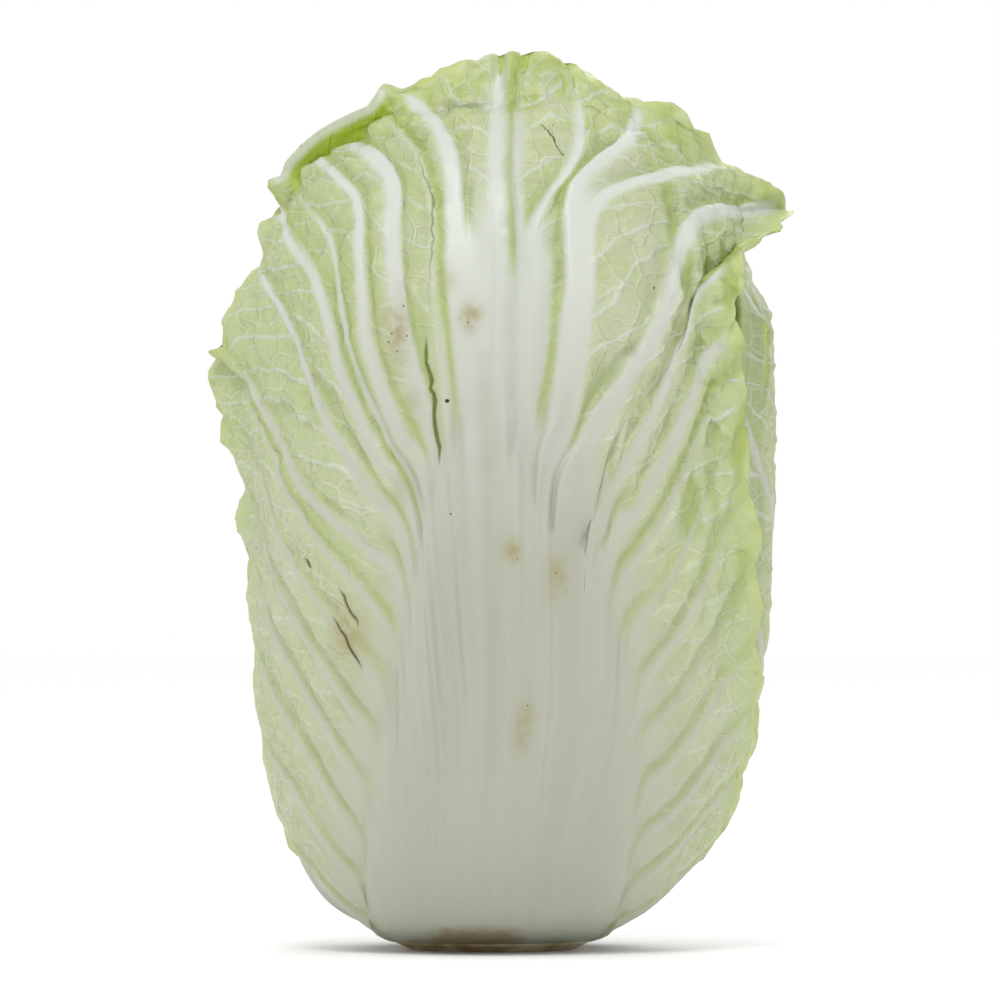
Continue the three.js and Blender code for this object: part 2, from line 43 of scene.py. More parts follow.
headForm = {
    "crownHeight": 279,
    "widestRadius": 82.5,
    "widestHeight": 186,
    "bottomHeight": 1,
    "crownPower": 2.5,
    "crownReach": (296, 340),
    "rootPower": 3.8,
    "rootTaper": 0.05,
    "leanX": 6,
    "leanHeight": 90,
    "profileSteps": 1500,
}

leafForm = {
    "bladeThickness": 1.2,
    "layerGap": 2.7,
    "coveredRelief": 0.9,
    "baseReach": 34,
    "petioleThickness": 8,
    "petioleSpread": (1.2, 6),     # how much wider its inner face is than the petiole: a factor and degrees
    "petioleThin": 0.06,           # share of its thickness that is left at the top of this run
    "petioleThinReach": (70, 260),
    "petioleRise": 3,
    "petioleTop": (196, 246),
    "ribRise": 4.2,
    "ribTipRise": 1.2,
    "midribSize": 1.6,
    "midribExit": 215,
    "plainRibSize": (0.75, 1.1),
    "lowRibSize": (0.5, 0.8),
    "lowestExit": 50,
    "exitSpread": 0.85,            # below 1, the ribs leave closer together towards the foot
    "plainRibArch": 0.14,
    "ribParting": (2, 9),
    "bulgeRise": 1.8,
    "bulgePitch": (0.12, 0.055),
    "coverMargin": 10,
    "coverFade": 26,
    "rollRadius": 4,
    "rollLength": 20,
    "mostRoll": 0.3,               # share of a line that may roll, where it is short
    "waveRise": (1.5, 4),
}

# the petiole's half-width: reach, degrees from the midrib
petioleEdge = [(34, 64), (58, 48), (80, 42), (100, 38), (120, 34), (140, 30), (158, 26), (185, 22),
               (205, 17), (225, 12), (250, 9), (280, 7), (320, 5), (377, 3)]
# the margin of half a plain leaf: degrees from the midrib, reach
plainOutline = [(64, 34), (72, 60), (80, 100), (84, 150), (86, 200), (86, 245), (83, 285), (76, 315),
                (63, 336), (38, 350), (0, 354)]

radians = math.pi / 180
flatRadius = 80                    # patterns follow a flat map of the leaf, as wide as a head of this radius
petioleRadius = 82                 # the head's radius where the petiole's edge is measured


def seeded(seed):
    state = seed & 0xffffffff

    def times(a, b):
        return (a * b) & 0xffffffff

    def draw():
        nonlocal state
        state = (state + 0x6d2b79f5) & 0xffffffff
        mixed = times(state ^ (state >> 15), 1 | state)
        mixed = ((mixed + times(mixed ^ (mixed >> 7), 61 | mixed)) & 0xffffffff) ^ mixed
        return (mixed ^ (mixed >> 14)) / 4294967296
    return draw


def smooth(value, low, high):
    t = np.clip((value - low) / (high - low), 0, 1)
    return t * t * (3 - 2 * t)


def mix(a, b, fraction):
    return a + (b - a) * fraction


def along(points, x):
    return np.interp(x, [p[0] for p in points], [p[1] for p in points])


def softNoise(x, y, seed):
    # smooth value noise, about one swell a unit, from -1 to 1
    table = np.random.default_rng(seed).random((64, 64)) * 2 - 1
    column = np.floor(x).astype(int)
    row = np.floor(y).astype(int)
    fx = smooth(x - column, 0, 1)
    fy = smooth(y - row, 0, 1)

    def corner(i, j):
        return table[(column + i) % 64, (row + j) % 64]
    return mix(mix(corner(0, 0), corner(1, 0), fx), mix(corner(0, 1), corner(1, 1), fx), fy)


def cellEdges(x, y, seed):
    # distance to the nearest border between irregular cells, about one cell a unit
    spots = np.random.default_rng(seed).random((64, 64, 2)) * 0.9 + 0.05
    column = np.floor(x).astype(int)
    row = np.floor(y).astype(int)
    nearest = np.full(x.shape, 9.0)
    second = np.full(x.shape, 9.0)
    for i in (-1, 0, 1):
        for j in (-1, 0, 1):
            spot = spots[(column + i) % 64, (row + j) % 64]
            away = np.hypot(column + i + spot[..., 0] - x, row + j + spot[..., 1] - y)
            second = np.minimum(second, np.maximum(nearest, away))
            nearest = np.minimum(nearest, away)
    return (second - nearest) / 2


# ---- the head's outer form

def makeProfile():
    f = headForm
    angle = np.linspace(-math.pi / 2, math.pi / 2, f["profileSteps"] + 1)
    c = np.abs(np.cos(angle))
    s = np.sin(angle)
    height = np.where(s >= 0, f["crownHeight"] - f["widestHeight"], f["widestHeight"] - f["bottomHeight"])
    power = np.where(s >= 0, f["crownPower"], f["rootPower"])
    scale = ((c / f["widestRadius"]) ** power + (np.abs(s) / height) ** power) ** (-1 / power)
    z = scale * s
    taper = np.where(s < 0, 1 + f["rootTaper"] * z / height, 1)
    r = scale * c * taper
    z = z + f["widestHeight"]
    reach = np.concatenate([[0], np.cumsum(np.hypot(np.diff(r), np.diff(z)))])
    return reach, r, z


profileReach, profileRadius, profileHeight = makeProfile()
topReach = profileReach[-1]


def radiusAt(reach):
    return np.interp(reach, profileReach, profileRadius)


def formAt(bearing, reach):
    def at(place):
        return np.interp(place, profileReach, profileRadius), np.interp(place, profileReach, profileHeight)
    r, z = at(reach)
    belowR, belowZ = at(reach - 1)
    aboveR, aboveZ = at(reach + 1)
    length = np.hypot(aboveR - belowR, aboveZ - belowZ)
    rise = (aboveZ - belowZ) / length
    spread = (aboveR - belowR) / length
    sine = np.sin(bearing * radians)
    cosine = np.cos(bearing * radians)
    lean = headForm["leanX"] * smooth(z, 0, headForm["leanHeight"])
    return {
        "point": np.stack([r * sine + lean, -r * cosine, z], -1),
        "normal": np.stack([rise * sine, -rise * cosine, -spread], -1),
        "up": np.stack([spread * sine, -spread * cosine, rise], -1),
        "side": np.stack([cosine, sine, np.zeros_like(sine)], -1),
        "radius": r,
    }


# ---- ribs: where each leaves the petiole, and the places it passes to the margin

def plainRib(side, exitReach, end, size, arch=leafForm["plainRibArch"]):
    exitPlace = (float(along(petioleEdge, exitReach)), exitReach)
    lift = arch * (end[0] - exitPlace[0])
    path = [(mix(exitPlace[0], end[0], f), mix(exitPlace[1], end[1], f) + lift) for f in (0.33, 0.66)]
    places = [(side * angle, reach) for angle, reach in [exitPlace, *path, end]]
    return {"exit": places[0], "path": places[1:], "size": size}


def plainRibs(side, leaf, random):
    ribs = []
    for i in range(leaf["ribs"]):
        fraction = i / (leaf["ribs"] - 1)
        down = fraction ** leafForm["exitSpread"]
        exitReach = mix(leaf["highestExit"], leafForm["lowestExit"], down) + mix(-3, 3, random())
        place = (1 - fraction) * (len(plainOutline) - 1.6) + 0.4
        before = min(math.floor(place), len(plainOutline) - 2)
        angle0, reach0 = plainOutline[before]
        angle1, reach1 = plainOutline[before + 1]
        stretch = leaf["topReach"] / plainOutline[-1][1]
        angle = mix(angle0, angle1, place - before) * leaf["width"] + mix(-1.5, 1.5, random())
        reach = mix(reach0, reach1, place - before) * stretch + mix(-3, 3, random())
        end = (max(angle, 4 * (i + 1)), reach)
        ribs.append(plainRib(side, exitReach, end, mix(*leafForm["plainRibSize"], random())))
    return ribs


# the ribs seen on the front leaf, from the midrib outward: degrees from the midrib, reach
frontLeftRibs = [
    {"exit": (-10, 234), "size": 1.3, "joined": 278,
     "path": [(-11.5, 262), (-13, 285), (-16, 303), (-23, 317), (-34, 326), (-46, 332)]},
    {"exit": (-14, 219), "size": 1.4, "flare": 12, "white": 0.35, "pleat": 2, "broad": 0.45,
     "path": [(-16, 242), (-17.5, 265), (-19, 284), (-23, 299), (-31, 310), (-41, 317), (-52, 320)]},
    {"exit": (-16, 208), "size": 0.9, "flare": 12, "broad": 2.1,
     "path": [(-20, 228), (-25, 255), (-28, 278), (-31, 294), (-38, 303), (-49, 309), (-62, 313)]},
    {"exit": (-18.5, 199), "size": 1, "flare": 12,
     "path": [(-25, 216), (-31, 240), (-35, 268), (-39, 287), (-48, 296), (-59, 302), (-72, 307)]},
    {"exit": (-20, 193), "size": 0.5, "flare": 12, "pleat": 0.3,
     "path": [(-28, 214), (-36, 242), (-42, 268), (-48, 279), (-60, 288), (-81, 298)]},
    {"exit": (-21, 189), "size": 1,
     "path": [(-30, 208), (-38, 230), (-42, 249), (-47, 262), (-55, 271), (-69, 281), (-85, 291)]},
    {"exit": (-23, 178), "size": 0.9,
     "path": [(-33, 198), (-41, 213), (-49, 230), (-57, 246), (-69, 260), (-86, 270)]},
    {"exit": (-25, 165), "size": 0.8,
     "path": [(-33, 178), (-42, 187), (-51, 197), (-61, 210), (-74, 226), (-88, 244)]},
]
frontRightRibs = [
    {"exit": (1.6, 215), "size": 0.6, "joined": 262,
     "path": [(2.4, 240), (2.6, 262), (2, 280), (1.5, 300), (3, 325), (7, 350)]},
    {"exit": (4, 208), "size": 0.8,
     "path": [(3.5, 232), (3.5, 255), (5, 277), (9, 290), (15, 300), (21, 313), (26, 330), (28, 345)]},
    {"exit": (5.5, 203), "size": 1.5,
     "path": [(9, 218), (12, 238), (13.5, 262), (14.5, 284), (18, 296), (26, 304), (36, 311), (45, 320),
              (53, 328)]},
    {"exit": (8, 199), "size": 1.2, "joined": 290,
     "path": [(11.5, 214), (14.5, 236), (16.5, 262), (18, 281), (23, 290), (32, 295), (45, 298), (60, 301),
              (74, 303)]},
    {"exit": (10, 194), "size": 1.4,
     "path": [(16, 210), (22, 225), (29, 240), (35, 254), (39, 266), (43, 276), (49, 283), (60, 286),
              (74, 286), (88, 283)]},
    {"exit": (17, 186), "size": 1,
     "path": [(22, 197), (28, 210), (34, 228), (40, 246), (44, 257), (48, 266), (53, 276)]},
    {"exit": (22, 176), "size": 1, "path": [(28, 189), (34, 203), (40, 220), (46, 237), (51, 252)]},
]
frontMidrib = [(0, 120), (-1, 200), (-3, 270), (-4.5, 320), (-5, 350)]
frontLeftMargin = [(50, 68), (62, 73), (92, 82), (130, 88), (170, 95), (225, 96)]
frontRightMargin = [(50, 62), (62, 72), (82, 80), (118, 73), (156, 64), (188, 61), (220, 57), (245, 53)]
frontLeftLower = {"count": 7, "highestExit": 150, "slopes": (1.4, 1.2), "arches": (0.06, 0.2)}
frontRightLower = {"count": 8, "highestExit": 163, "slopes": (2.7, 1.2), "arches": (-0.1, -0.1)}
# how far the margin rolls outward: rib counted from the midrib, degrees
frontRolls = [(-15, 5), (-12, 8), (-11, 15), (-10, 28), (-9, 34), (-8, 24), (-7, 4), (-6, 6), (-5, 50),
              (-4, 72), (-3, 75), (-2, 62), (-1, 20), (0, 38), (1, 34), (2, 26), (3, 14), (4, 12), (5, 44),
              (6, 44), (7, 24), (11, 20), (15, 8)]


def frontLowerSide(side, margin, lower, random):
    ribs = []
    for i in range(lower["count"]):
        exitReach = mix(lower["highestExit"], leafForm["lowestExit"], i / (lower["count"] - 1))
        slope = mix(*lower["slopes"], i / (lower["count"] - 1))
        arch = mix(*lower["arches"], i / (lower["count"] - 1))
        endReach = exitReach
        exitAngle = float(along(petioleEdge, exitReach))
        while exitAngle + (endReach - exitReach) / slope < along(margin, endReach):
            endReach += 1
        end = (float(along(margin, endReach)) + mix(-1, 1, random()), endReach)
        rib = plainRib(side, exitReach, end, mix(*leafForm["lowRibSize"], random()), arch)
        ribs.append({**rib, "white": 0.75})
    return ribs


# ---- lines: one for each rib, from the stem through the petiole and out to the margin

degreeWidth = headForm["widestRadius"] * radians


def lineOf(rib, sideFraction):
    exitAngle, exitReach = rib["exit"]
    baseReach = leafForm["baseReach"]
    baseAcross = sideFraction * along(petioleEdge, baseReach) * radiusAt(baseReach)
    places = []
    for f in (0, 0.33, 0.66):
        reach = mix(baseReach, exitReach, f)
        places.append((mix(baseAcross, exitAngle * radiusAt(exitReach), f) / radiusAt(reach), reach))
    return [*places, rib["exit"], *rib["path"]]


def splinePoints(places, steps=60):
    points = np.array([(angle * degreeWidth, reach) for angle, reach in places], float)
    padded = np.vstack([points[0], points, points[-1]])
    weight = (np.arange(steps) / steps)[:, None]
    curve = []
    for p0, p1, p2, p3 in zip(padded, padded[1:], padded[2:], padded[3:]):
        v0 = (p2 - p0) / 2
        v1 = (p3 - p1) / 2
        curve.append((2 * p1 - 2 * p2 + v0 + v1) * weight ** 3
                     + (-3 * p1 + 3 * p2 - 2 * v0 - v1) * weight ** 2 + v0 * weight + p1)
    return np.vstack([*curve, points[-1]])


# white and pleat scale the rib's colour and its groove, broad its width; flare is how much margin
# rolls outward; up to the reach joined it runs together with the rib on its midrib side
plainLine = {"white": 1, "pleat": 1, "broad": 1, "joined": 0, "flare": leafForm["rollLength"], "roll": 0}


def makeLine(places, rib):
    d = leafDetail
    curve = splinePoints(places)
    exitReach = rib["exit"][1]
    wander = softNoise(curve[:, 1] / d["wanderLength"] + rib["size"] * 31, curve[:, 0] * 0 + exitReach / 7, 5)
    curve[:, 0] += wander * d["ribWander"] * smooth(curve[:, 1] - exitReach, *d["wanderRun"])
    distance = np.concatenate([[0], np.cumsum(np.hypot(*np.diff(curve, axis=0).T))])
    line = {**plainLine, **rib}
    return {**line, "exitReach": exitReach, "curve": curve, "distance": distance, "length": distance[-1],
            "rollStart": distance[-1] - min(line["flare"], leafForm["mostRoll"] * distance[-1])}


def lineAt(line, distance):
    x = np.interp(distance, line["distance"], line["curve"][:, 0])
    y = np.interp(distance, line["distance"], line["curve"][:, 1])
    return np.stack([x / degreeWidth, y], -1)


rowSpacing = [(60, 12), (100, 26), (215, 22), (245, 14), (377, 13)]
sidewaysSpacing = 15
gapsAt = 0.7                       # gaps between lines are compared at this share of their length
gapWidths = (5, 24)
fewestColumns = 4


def rowDistances(line, bladeRows, rollRows):
    steps = np.linspace(0, line["rollStart"], 400)
    places = lineAt(line, steps)
    upward = np.diff(places[:, 1]) / along(rowSpacing, places[1:, 1])
    sideways = np.diff(places[:, 0]) * degreeWidth / sidewaysSpacing
    needed = np.concatenate([[0], np.cumsum(np.hypot(upward, sideways))])
    blade = np.interp(np.linspace(0, needed[-1], bladeRows + 1), needed, steps)
    return np.concatenate([blade, np.linspace(line["rollStart"], line["length"], rollRows + 1)[1:]])


def layLines(leftRibs, rightRibs, midrib):
    def side(ribs, sign):
        return [makeLine(lineOf(rib, sign * (i + 1) / len(ribs)), rib) for i, rib in enumerate(ribs)]
    middle = makeLine([(0, leafForm["baseReach"]), *midrib],
                      {"size": leafForm["midribSize"], "exit": (0, leafForm["midribExit"])})
    return [*side(leftRibs, -1)[::-1], middle, *side(rightRibs, 1)]


def frontLines():
    random = seeded(11)
    leftRibs = [*frontLeftRibs, *frontLowerSide(-1, frontLeftMargin, frontLeftLower, random)]
    rightRibs = [*frontRightRibs, *frontLowerSide(1, frontRightMargin, frontRightLower, random)]
    lines = layLines(leftRibs, rightRibs, frontMidrib)
    for i, line in enumerate(lines):
        line["roll"] = float(along(frontRolls, i - len(leftRibs)))
    return lines


def plainLines(leaf):
    random = seeded(leaf["seed"])
    leftRibs = plainRibs(-1, leaf, random)
    rightRibs = plainRibs(1, leaf, random)
    midrib = [(0, 120), (0, 220), (mix(-2, 2, random()), 300), (0, leaf["topReach"])]
    lines = layLines(leftRibs, rightRibs, midrib)
    for i, line in enumerate(lines):
        fromMidrib = abs(i - leaf["ribs"]) / leaf["ribs"]
        line["roll"] = mix(leaf["roll"], 15, float(smooth(fromMidrib, 0.2, 0.9))) * mix(0.7, 1.2, random())
        line["roll"] += float(along(leaf.get("peeled", [(0, 0)]), i - leaf["ribs"]))
    return lines


# ribs on each side; roll of the margin (degrees), to which peeled adds rib by rib; columns and rows
# of the mesh, the rows on the blade and on the rolled margin; tuck draws a hidden top inward (mm)
leaves = [
    {"name": "leaf_1_front", "bearing": 0, "seed": 21, "columns": 400, "rows": (150, 38), "green": 0.0,
     "folds": 1},
    {"name": "leaf_2_back", "bearing": 142, "ribs": 10, "width": 0.88, "highestExit": 250, "topReach": 356,
     "roll": 9, "peeled": [(-7, 0), (-6, 40), (-5, 90), (-4, 50), (-3, 0)], "seed": 32,
     "columns": 370, "rows": (140, 30), "green": 0.55, "tuck": 4},
    {"name": "leaf_3_left", "bearing": -118, "ribs": 9, "width": 0.98, "highestExit": 245, "topReach": 344,
     "roll": 20, "seed": 43, "columns": 350, "rows": (130, 30), "green": 0.3, "tuck": 6},
    {"name": "leaf_4_right", "bearing": 58, "ribs": 11, "width": 1, "highestExit": 240, "topReach": 358,
     "roll": 16, "seed": 54, "columns": 350, "rows": (130, 30), "green": 0.6},
    {"name": "leaf_5_inner", "bearing": -170, "ribs": 9, "width": 0.95, "highestExit": 240, "topReach": 364,
     "roll": 16, "seed": 65, "columns": 220, "rows": (100, 26), "green": 0.5, "slot": "inner_leaf"},
]


def prepareLeaves():
    for leaf in leaves:
        leaf["lines"] = plainLines(leaf) if "ribs" in leaf else frontLines()
        outline = [lineAt(line, line["length"]) for line in leaf["lines"]]
        leaf["outline"] = np.array([*outline, (outline[-1][0], 0), (outline[0][0], 0)])


# ---- how the leaves lie over each other

def fromMidrib(leaf, bearing):
    return (bearing - leaf["bearing"] + 180) % 360 - 180


def insideBy(leaf, bearing, reach):
    angle = fromMidrib(leaf, bearing)
    scale = np.maximum(np.interp(reach, profileReach, profileRadius), 12) * radians
    nearest = np.full(angle.shape, 1e9)
    inside = np.zeros(angle.shape, bool)
    ends = leaf["outline"]
    for (angle0, reach0), (angle1, reach1) in zip(np.roll(ends, 1, 0), ends):
        edgeX = (angle1 - angle0) * scale
        edgeY = reach1 - reach0
        toX = (angle - angle0) * scale
        toY = reach - reach0
        place = np.clip((toX * edgeX + toY * edgeY) / (edgeX ** 2 + edgeY ** 2 + 1e-9), 0, 1)
        nearest = np.minimum(nearest, np.hypot(toX - place * edgeX, toY - place * edgeY))
        if reach0 != reach1:
            crosses = (reach0 > reach) != (reach1 > reach)
            inside ^= crosses & (angle < angle0 + (reach - reach0) / edgeY * (angle1 - angle0))
    return np.where(inside, nearest, -nearest)


def coverOf(leaf, bearing, reach):
    margin = leafForm["coverMargin"]
    return smooth(insideBy(leaf, bearing, reach), -margin - leafForm["coverFade"], -margin)


def petioleDepth(leaf, bearing, reach):
    factor, more = leafForm["petioleSpread"]
    across = np.abs(fromMidrib(leaf, bearing)) / (factor * along(petioleEdge, reach) + more)
    across = np.minimum(across, 1)
    upward = mix(1, leafForm["petioleThin"], smooth(reach, *leafForm["petioleThinReach"]))
    return leafForm["petioleThickness"] * upward * np.cos(across * math.pi / 2) ** 2


def depthUnder(outerLeaves, bearing, reach):
    depth = np.zeros(np.shape(bearing))
    covered = np.zeros(np.shape(bearing))
    layer = leafForm["bladeThickness"] + leafForm["layerGap"] + leafForm["coveredRelief"]
    for leaf in outerLeaves:
        cover = coverOf(leaf, bearing, reach)
        depth += cover * (layer + petioleDepth(leaf, bearing, reach))
        covered = np.maximum(covered, cover)
    return depth, covered


# ---- leaf surfaces

leafDetail = {
    "ribWidth": (4.4, 2.1),        # half-width of a rib of size 1 at the petiole and at its tip
    "sizeToWidth": [(0.5, 0.36), (0.75, 0.5), (1, 0.85), (1.3, 1.35), (1.6, 1.5)],
    "sizeToHeight": [(0.5, 0.55), (0.8, 0.7), (1, 0.95)],
    "ribWander": 0.8,              # mm sideways, over swells of this length, from this run past the exit on
    "wanderLength": 17,
    "wanderRun": (-10, 40),
    "ribStart": (-25, 5),          # a rib rises over this run of reach about the place where it leaves
    "ribEnd": 0.3,                 # share of its height that is left at the margin
    "ribEndRun": (0.9, 1),
    "unevenRib": 0.22,
    "unevenLength": 16,
    "skirt": (0.35, 2.2),          # share of a rib's height that spreads, and how far, in half-widths
    "crestPower": 2.4,
    "crestShare": (0.5, 0.2),      # flat crest of the outer rib, as shares of its width and of the span
    "steepWidth": 1.7,             # how fast a rib falls on the side that faces the midrib
    "steepShare": 0.35,
    "fanTop": (265, 305),          # the ribs beside the midrib run together in one white fan up to here
    "fanMiddle": -3,
    "fanHalf": (9, 15),
    "fanShelf": 0.88,
    "shelf": 0.42,                 # how much of the rib's height the blade beside it keeps
    "shelfPower": (1.3, 0.4),      # how fast it loses that, on the blade and in the fan
    "crotchFill": 0.95,            # how high the blade stands where two ribs part
    "crotchGap": (6, 20),
    "youngRib": (8, 48),           # how far past its exit a rib still counts as young
    "youngFill": 0.8,
    "youngSteep": 2,
    "youngGroove": 0.3,
    "partingRun": (-10, 14),       # how ribs that run together part, about the reach where they do
    "grooveDepth": (1.5, 0.9),     # where the ribs part and at the margin
    "grooveWidth": (1.1, 1.8),
    "grooveGap": (7, 17),
    "grooveAway": 0.6,
    "grooveRange": (0.45, 0.95),   # where a groove may run between two ribs
    "panelSwell": 0.08,
    "mostSwell": 1.8,
    "petioleFade": (0.7, 1.2),     # the petiole ends at these shares of its half-width
    "petioleTone": (0.45, 1.25),
    "plateauRun": 30,
    "petioleFlute": 2.4,
    "lineFlute": 0.2,
    "fluteRun": (50, 150),
    "branchPitch": 17,
    "branchClimb": 1.1,            # how steeply the branch veins climb away from their rib
    "branchWidth": 1.0,
    "branchRise": 0.8,
    "branchReach": (170, 250),
    "pleatRise": 0.6,
    "pleatSpan": (4, 8, 14, 22),   # pleats come in and go out over these widths of blade
    "bladeLift": 0.35,             # keeps the hollows of the crumple above the blade's inner face
    "crumple": 1.7,
    "crease": 0.7,
    "creaseSize": 5,
    "creaseBend": 0.4,
    "creaseHalf": 0.3,             # half-width of a crease, as a share of its cell
    "crownWrinkle": 1.6,
    "wrinkleBend": 0.8,
    "wrinkleReach": (285, 312),
    "edgeCrumple": 0.35,           # added to the crumple towards the margin
    "edgeRun": (-34, -8),
    "rightMargin": (34, 46),       # degrees from the midrib
    "rightCrumple": 1.6,           # how much more crumple the right margin has
    "foldRise": 1.6,               # upright folds along the right margin
    "foldFrom": (35, 42),
    "foldReach": (120, 190),
    "sideLift": 0.7,               # how far the right margin stands off the leaf behind it
    "sideFrom": (38, 50),
    "flareReach": (225, 262, 284, 298),
    "hollowTurn": (44, 58),        # a margin that turns further than this shows a hollow and a lip
    "hollowStart": (0.2, 1.6),
    "lip": 1.6,                    # how far the blade stands over the hollow of its flared margin
    "tuckReach": (318, 340),
    "deepest": -0.3,               # below this the blade sinks slowly, so that it stays whole
    "floor": -0.8,
    "slitDepth": 1.8,
    "slitWidth": 1.1,
    "slitWaver": 0.8,
    "slitWaverSize": 2.6,
    "slitEnds": 0.6,               # the smaller, the blunter a tear ends
    "slitReach": (2.5, 4),         # a tear has no effect further away than this
}

# soft swells over a leaf: how far they rise, their size across and along, and which noise they are.
# "over" is the key of what they are measured along across the leaf, mm of the flat map if not given.
swells = {
    "flute": {"rise": 1, "over": "angle", "size": (7, 220), "start": (7, 0), "seed": 3},
    "fineFlute": {"rise": 0.4, "over": "angle", "size": (3.1, 130), "start": (9, 0), "seed": 10},
    "branchBend": {"rise": 5, "size": (14, 14), "start": (11, 0), "seed": 12},
    "branchWaver": {"rise": 1.5, "size": (5, 5), "start": (3, 0), "seed": 11},
    "crumple": {"rise": 1, "size": (10, 8), "start": (9, 0), "seed": 6},
    "fineCrumple": {"rise": 0.5, "size": (10 / 2.2, 8 / 1.8), "start": (3, 0), "seed": 7},
    "wrinkle": {"rise": 1, "size": (13, 3.6), "start": (5, 0), "seed": 18},
    "fold": {"rise": 1, "over": "angle", "size": (2.4, 24), "start": (0, 0), "seed": 21},
    "turn": {"rise": 0.12, "over": "angle", "size": (6, 40), "start": (0, 0), "seed": 8},
    "ruffle": {"rise": 1.9, "size": (7, 7), "start": (5, 5), "seed": 9},
    "lump": {"rise": 1.6, "size": (28, 28), "start": (2, 0), "seed": 13},
    "jag": {"rise": 2.4, "size": (8, 8), "start": (1, 0), "seed": 14},
    "fineJag": {"rise": 1.68, "size": (3, 3), "start": (0, 0), "seed": 15},
}

# tears in the front leaf, each as places it passes, with how wide it gapes (mm); the second is no tear but a
# fold line, its dark line a painted shadow along the fold
slits = [
    {"places": [(-17.9, 247), (-17.6, 236), (-16.6, 227), (-16.2, 216), (-15.2, 203)], "gape": 0.8},
    {"places": [(-31.5, 312), (-24.8, 304), (-18.9, 290), (-17.6, 278), (-17.4, 265), (-17.6, 250)],
     "gape": 0.35},
    {"places": [(8.9, 321), (11.5, 314), (13.5, 310), (15.2, 304)], "gape": 0.7},
    {"places": [(-41.4, 168), (-38.4, 161), (-35, 152)], "gape": 0.5},
    {"places": [(-43.4, 158), (-39.5, 150), (-34.8, 139)], "gape": 0.6},
    {"places": [(-51.5, 175), (-49.0, 172)], "gape": 1.1},
]
# worn and stained spots, on the front leaf if none is named: place, half-width and half-height (mm)
stains = [
    {"at": (-8.3, 251), "size": (3.2, 4.5), "strength": 0.9},
    {"at": (-12.6, 262), "size": (2.0, 4.0), "strength": 0.35},
    {"at": (0.3, 178), "size": (2.6, 3.6), "strength": 0.9},
    {"at": (9.8, 170), "size": (3.4, 7.0), "strength": 0.75},
    {"at": (3.3, 123), "size": (2.8, 7.5), "strength": 0.85},
    {"at": (-24.5, 246), "size": (4.0, 11.0), "strength": 0.85},
    {"at": (-21.5, 222), "size": (3.0, 9.0), "strength": 0.4},
    {"at": (-24.0, 198), "size": (4.5, 5.0), "strength": 0.35},
    {"at": (-39.0, 152), "size": (6.5, 9.0), "strength": 0.8},
    {"leaf": "leaf_2_back", "at": (-73, 76), "size": (3.5, 14.0), "strength": 1.0},
]


def columnPlaces(leaf):
    # columns shared out among the gaps between lines by how wide each gap is
    lines = leaf["lines"]
    middles = np.array([lineAt(line, gapsAt * line["length"]) for line in lines])
    width = np.hypot(np.diff(middles[:, 0]) * degreeWidth, np.diff(middles[:, 1]))
    share = np.clip(width, *gapWidths)
    counts = np.round(share / share.sum() * leaf["columns"]).astype(int)
    counts = np.maximum(counts, fewestColumns)
    lower = np.concatenate([np.full(n, i) for i, n in enumerate(counts)] + [[len(lines) - 2]])
    fraction = np.concatenate([np.arange(n) / n for n in counts] + [[1.0]])
    return lower, fraction


def rolledMargin(distance, turn):
    radius = leafForm["rollRadius"]
    bend = np.minimum(distance / radius, turn)
    rest = distance - bend * radius
    ahead = radius * np.sin(bend) + rest * np.cos(bend)
    out = radius * (1 - np.cos(bend)) + rest * np.sin(bend)
    return ahead, out, bend


def layGrid(leaf, outerLeaves):
    # every column and row of a leaf: where it lies, which two ribs it runs between, what covers it
    lines = leaf["lines"]
    lower, fraction = columnPlaces(leaf)
    f = fraction[:, None]
    rows = np.array([rowDistances(line, *leaf["rows"]) for line in lines])
    ends = np.array([lineAt(line, row) for line, row in zip(lines, rows)])
    backs = np.array([lineAt(line, np.maximum(row - 2, 0)) for line, row in zip(lines, rows)])

    def between(values):
        return mix(values[lower], values[lower + 1], f[..., None] if values.ndim == 3 else f)

    place = between(ends)
    behind = between(backs)
    angle = place[..., 0]
    reach = place[..., 1]
    bearing = leaf["bearing"] + angle
    form = formAt(bearing, reach)
    depth, covered = depthUnder(outerLeaves, bearing, reach)
    backX = (angle - behind[..., 0]) * radians * form["radius"]
    backY = reach - behind[..., 1]
    ahead = form["side"] * backX[..., None] + form["up"] * backY[..., None]
    ahead = ahead / np.maximum(np.linalg.norm(ahead, axis=-1, keepdims=True), 1e-9)

    # gap is the distance between the two ribs along a row, span is the same square to the ribs
    distance = between(rows)
    gapX = (ends[lower + 1, :, 0] - ends[lower, :, 0]) * radians * form["radius"]
    gapY = ends[lower + 1, :, 1] - ends[lower, :, 1]
    gap = np.hypot(gapX, gapY)
    square = np.abs(gapX * backY - gapY * backX) / (np.maximum(gap, 1e-6)
                                                    * np.maximum(np.hypot(backX, backY), 1e-6))
    outward = (lower >= (len(lines) - 1) / 2)[:, None]
    return {
        "f": f, "lower": lower, "angle": angle, "reach": reach, "bearing": bearing, "distance": distance,
        "form": form, "depth": depth, "covered": covered, "free": 1 - smooth(covered, 0, 0.3),
        "ahead": ahead, "gap": gap,
        "span": np.where(distance < 3, gap, gap * np.clip(square, 0.3, 1)),
        "g": np.where(outward, f, 1 - f),      # 0 on the rib nearer the midrib, 1 on the next one out
        "nearer": np.where(outward, lower[:, None], lower[:, None] + 1),
        "further": np.where(outward, lower[:, None] + 1, lower[:, None]),
        "flatX": angle * radians * flatRadius,
        "rollStart": between(np.array([[line["rollStart"]] for line in lines])),
        "length": between(np.array([[line["length"]] for line in lines])),
    }


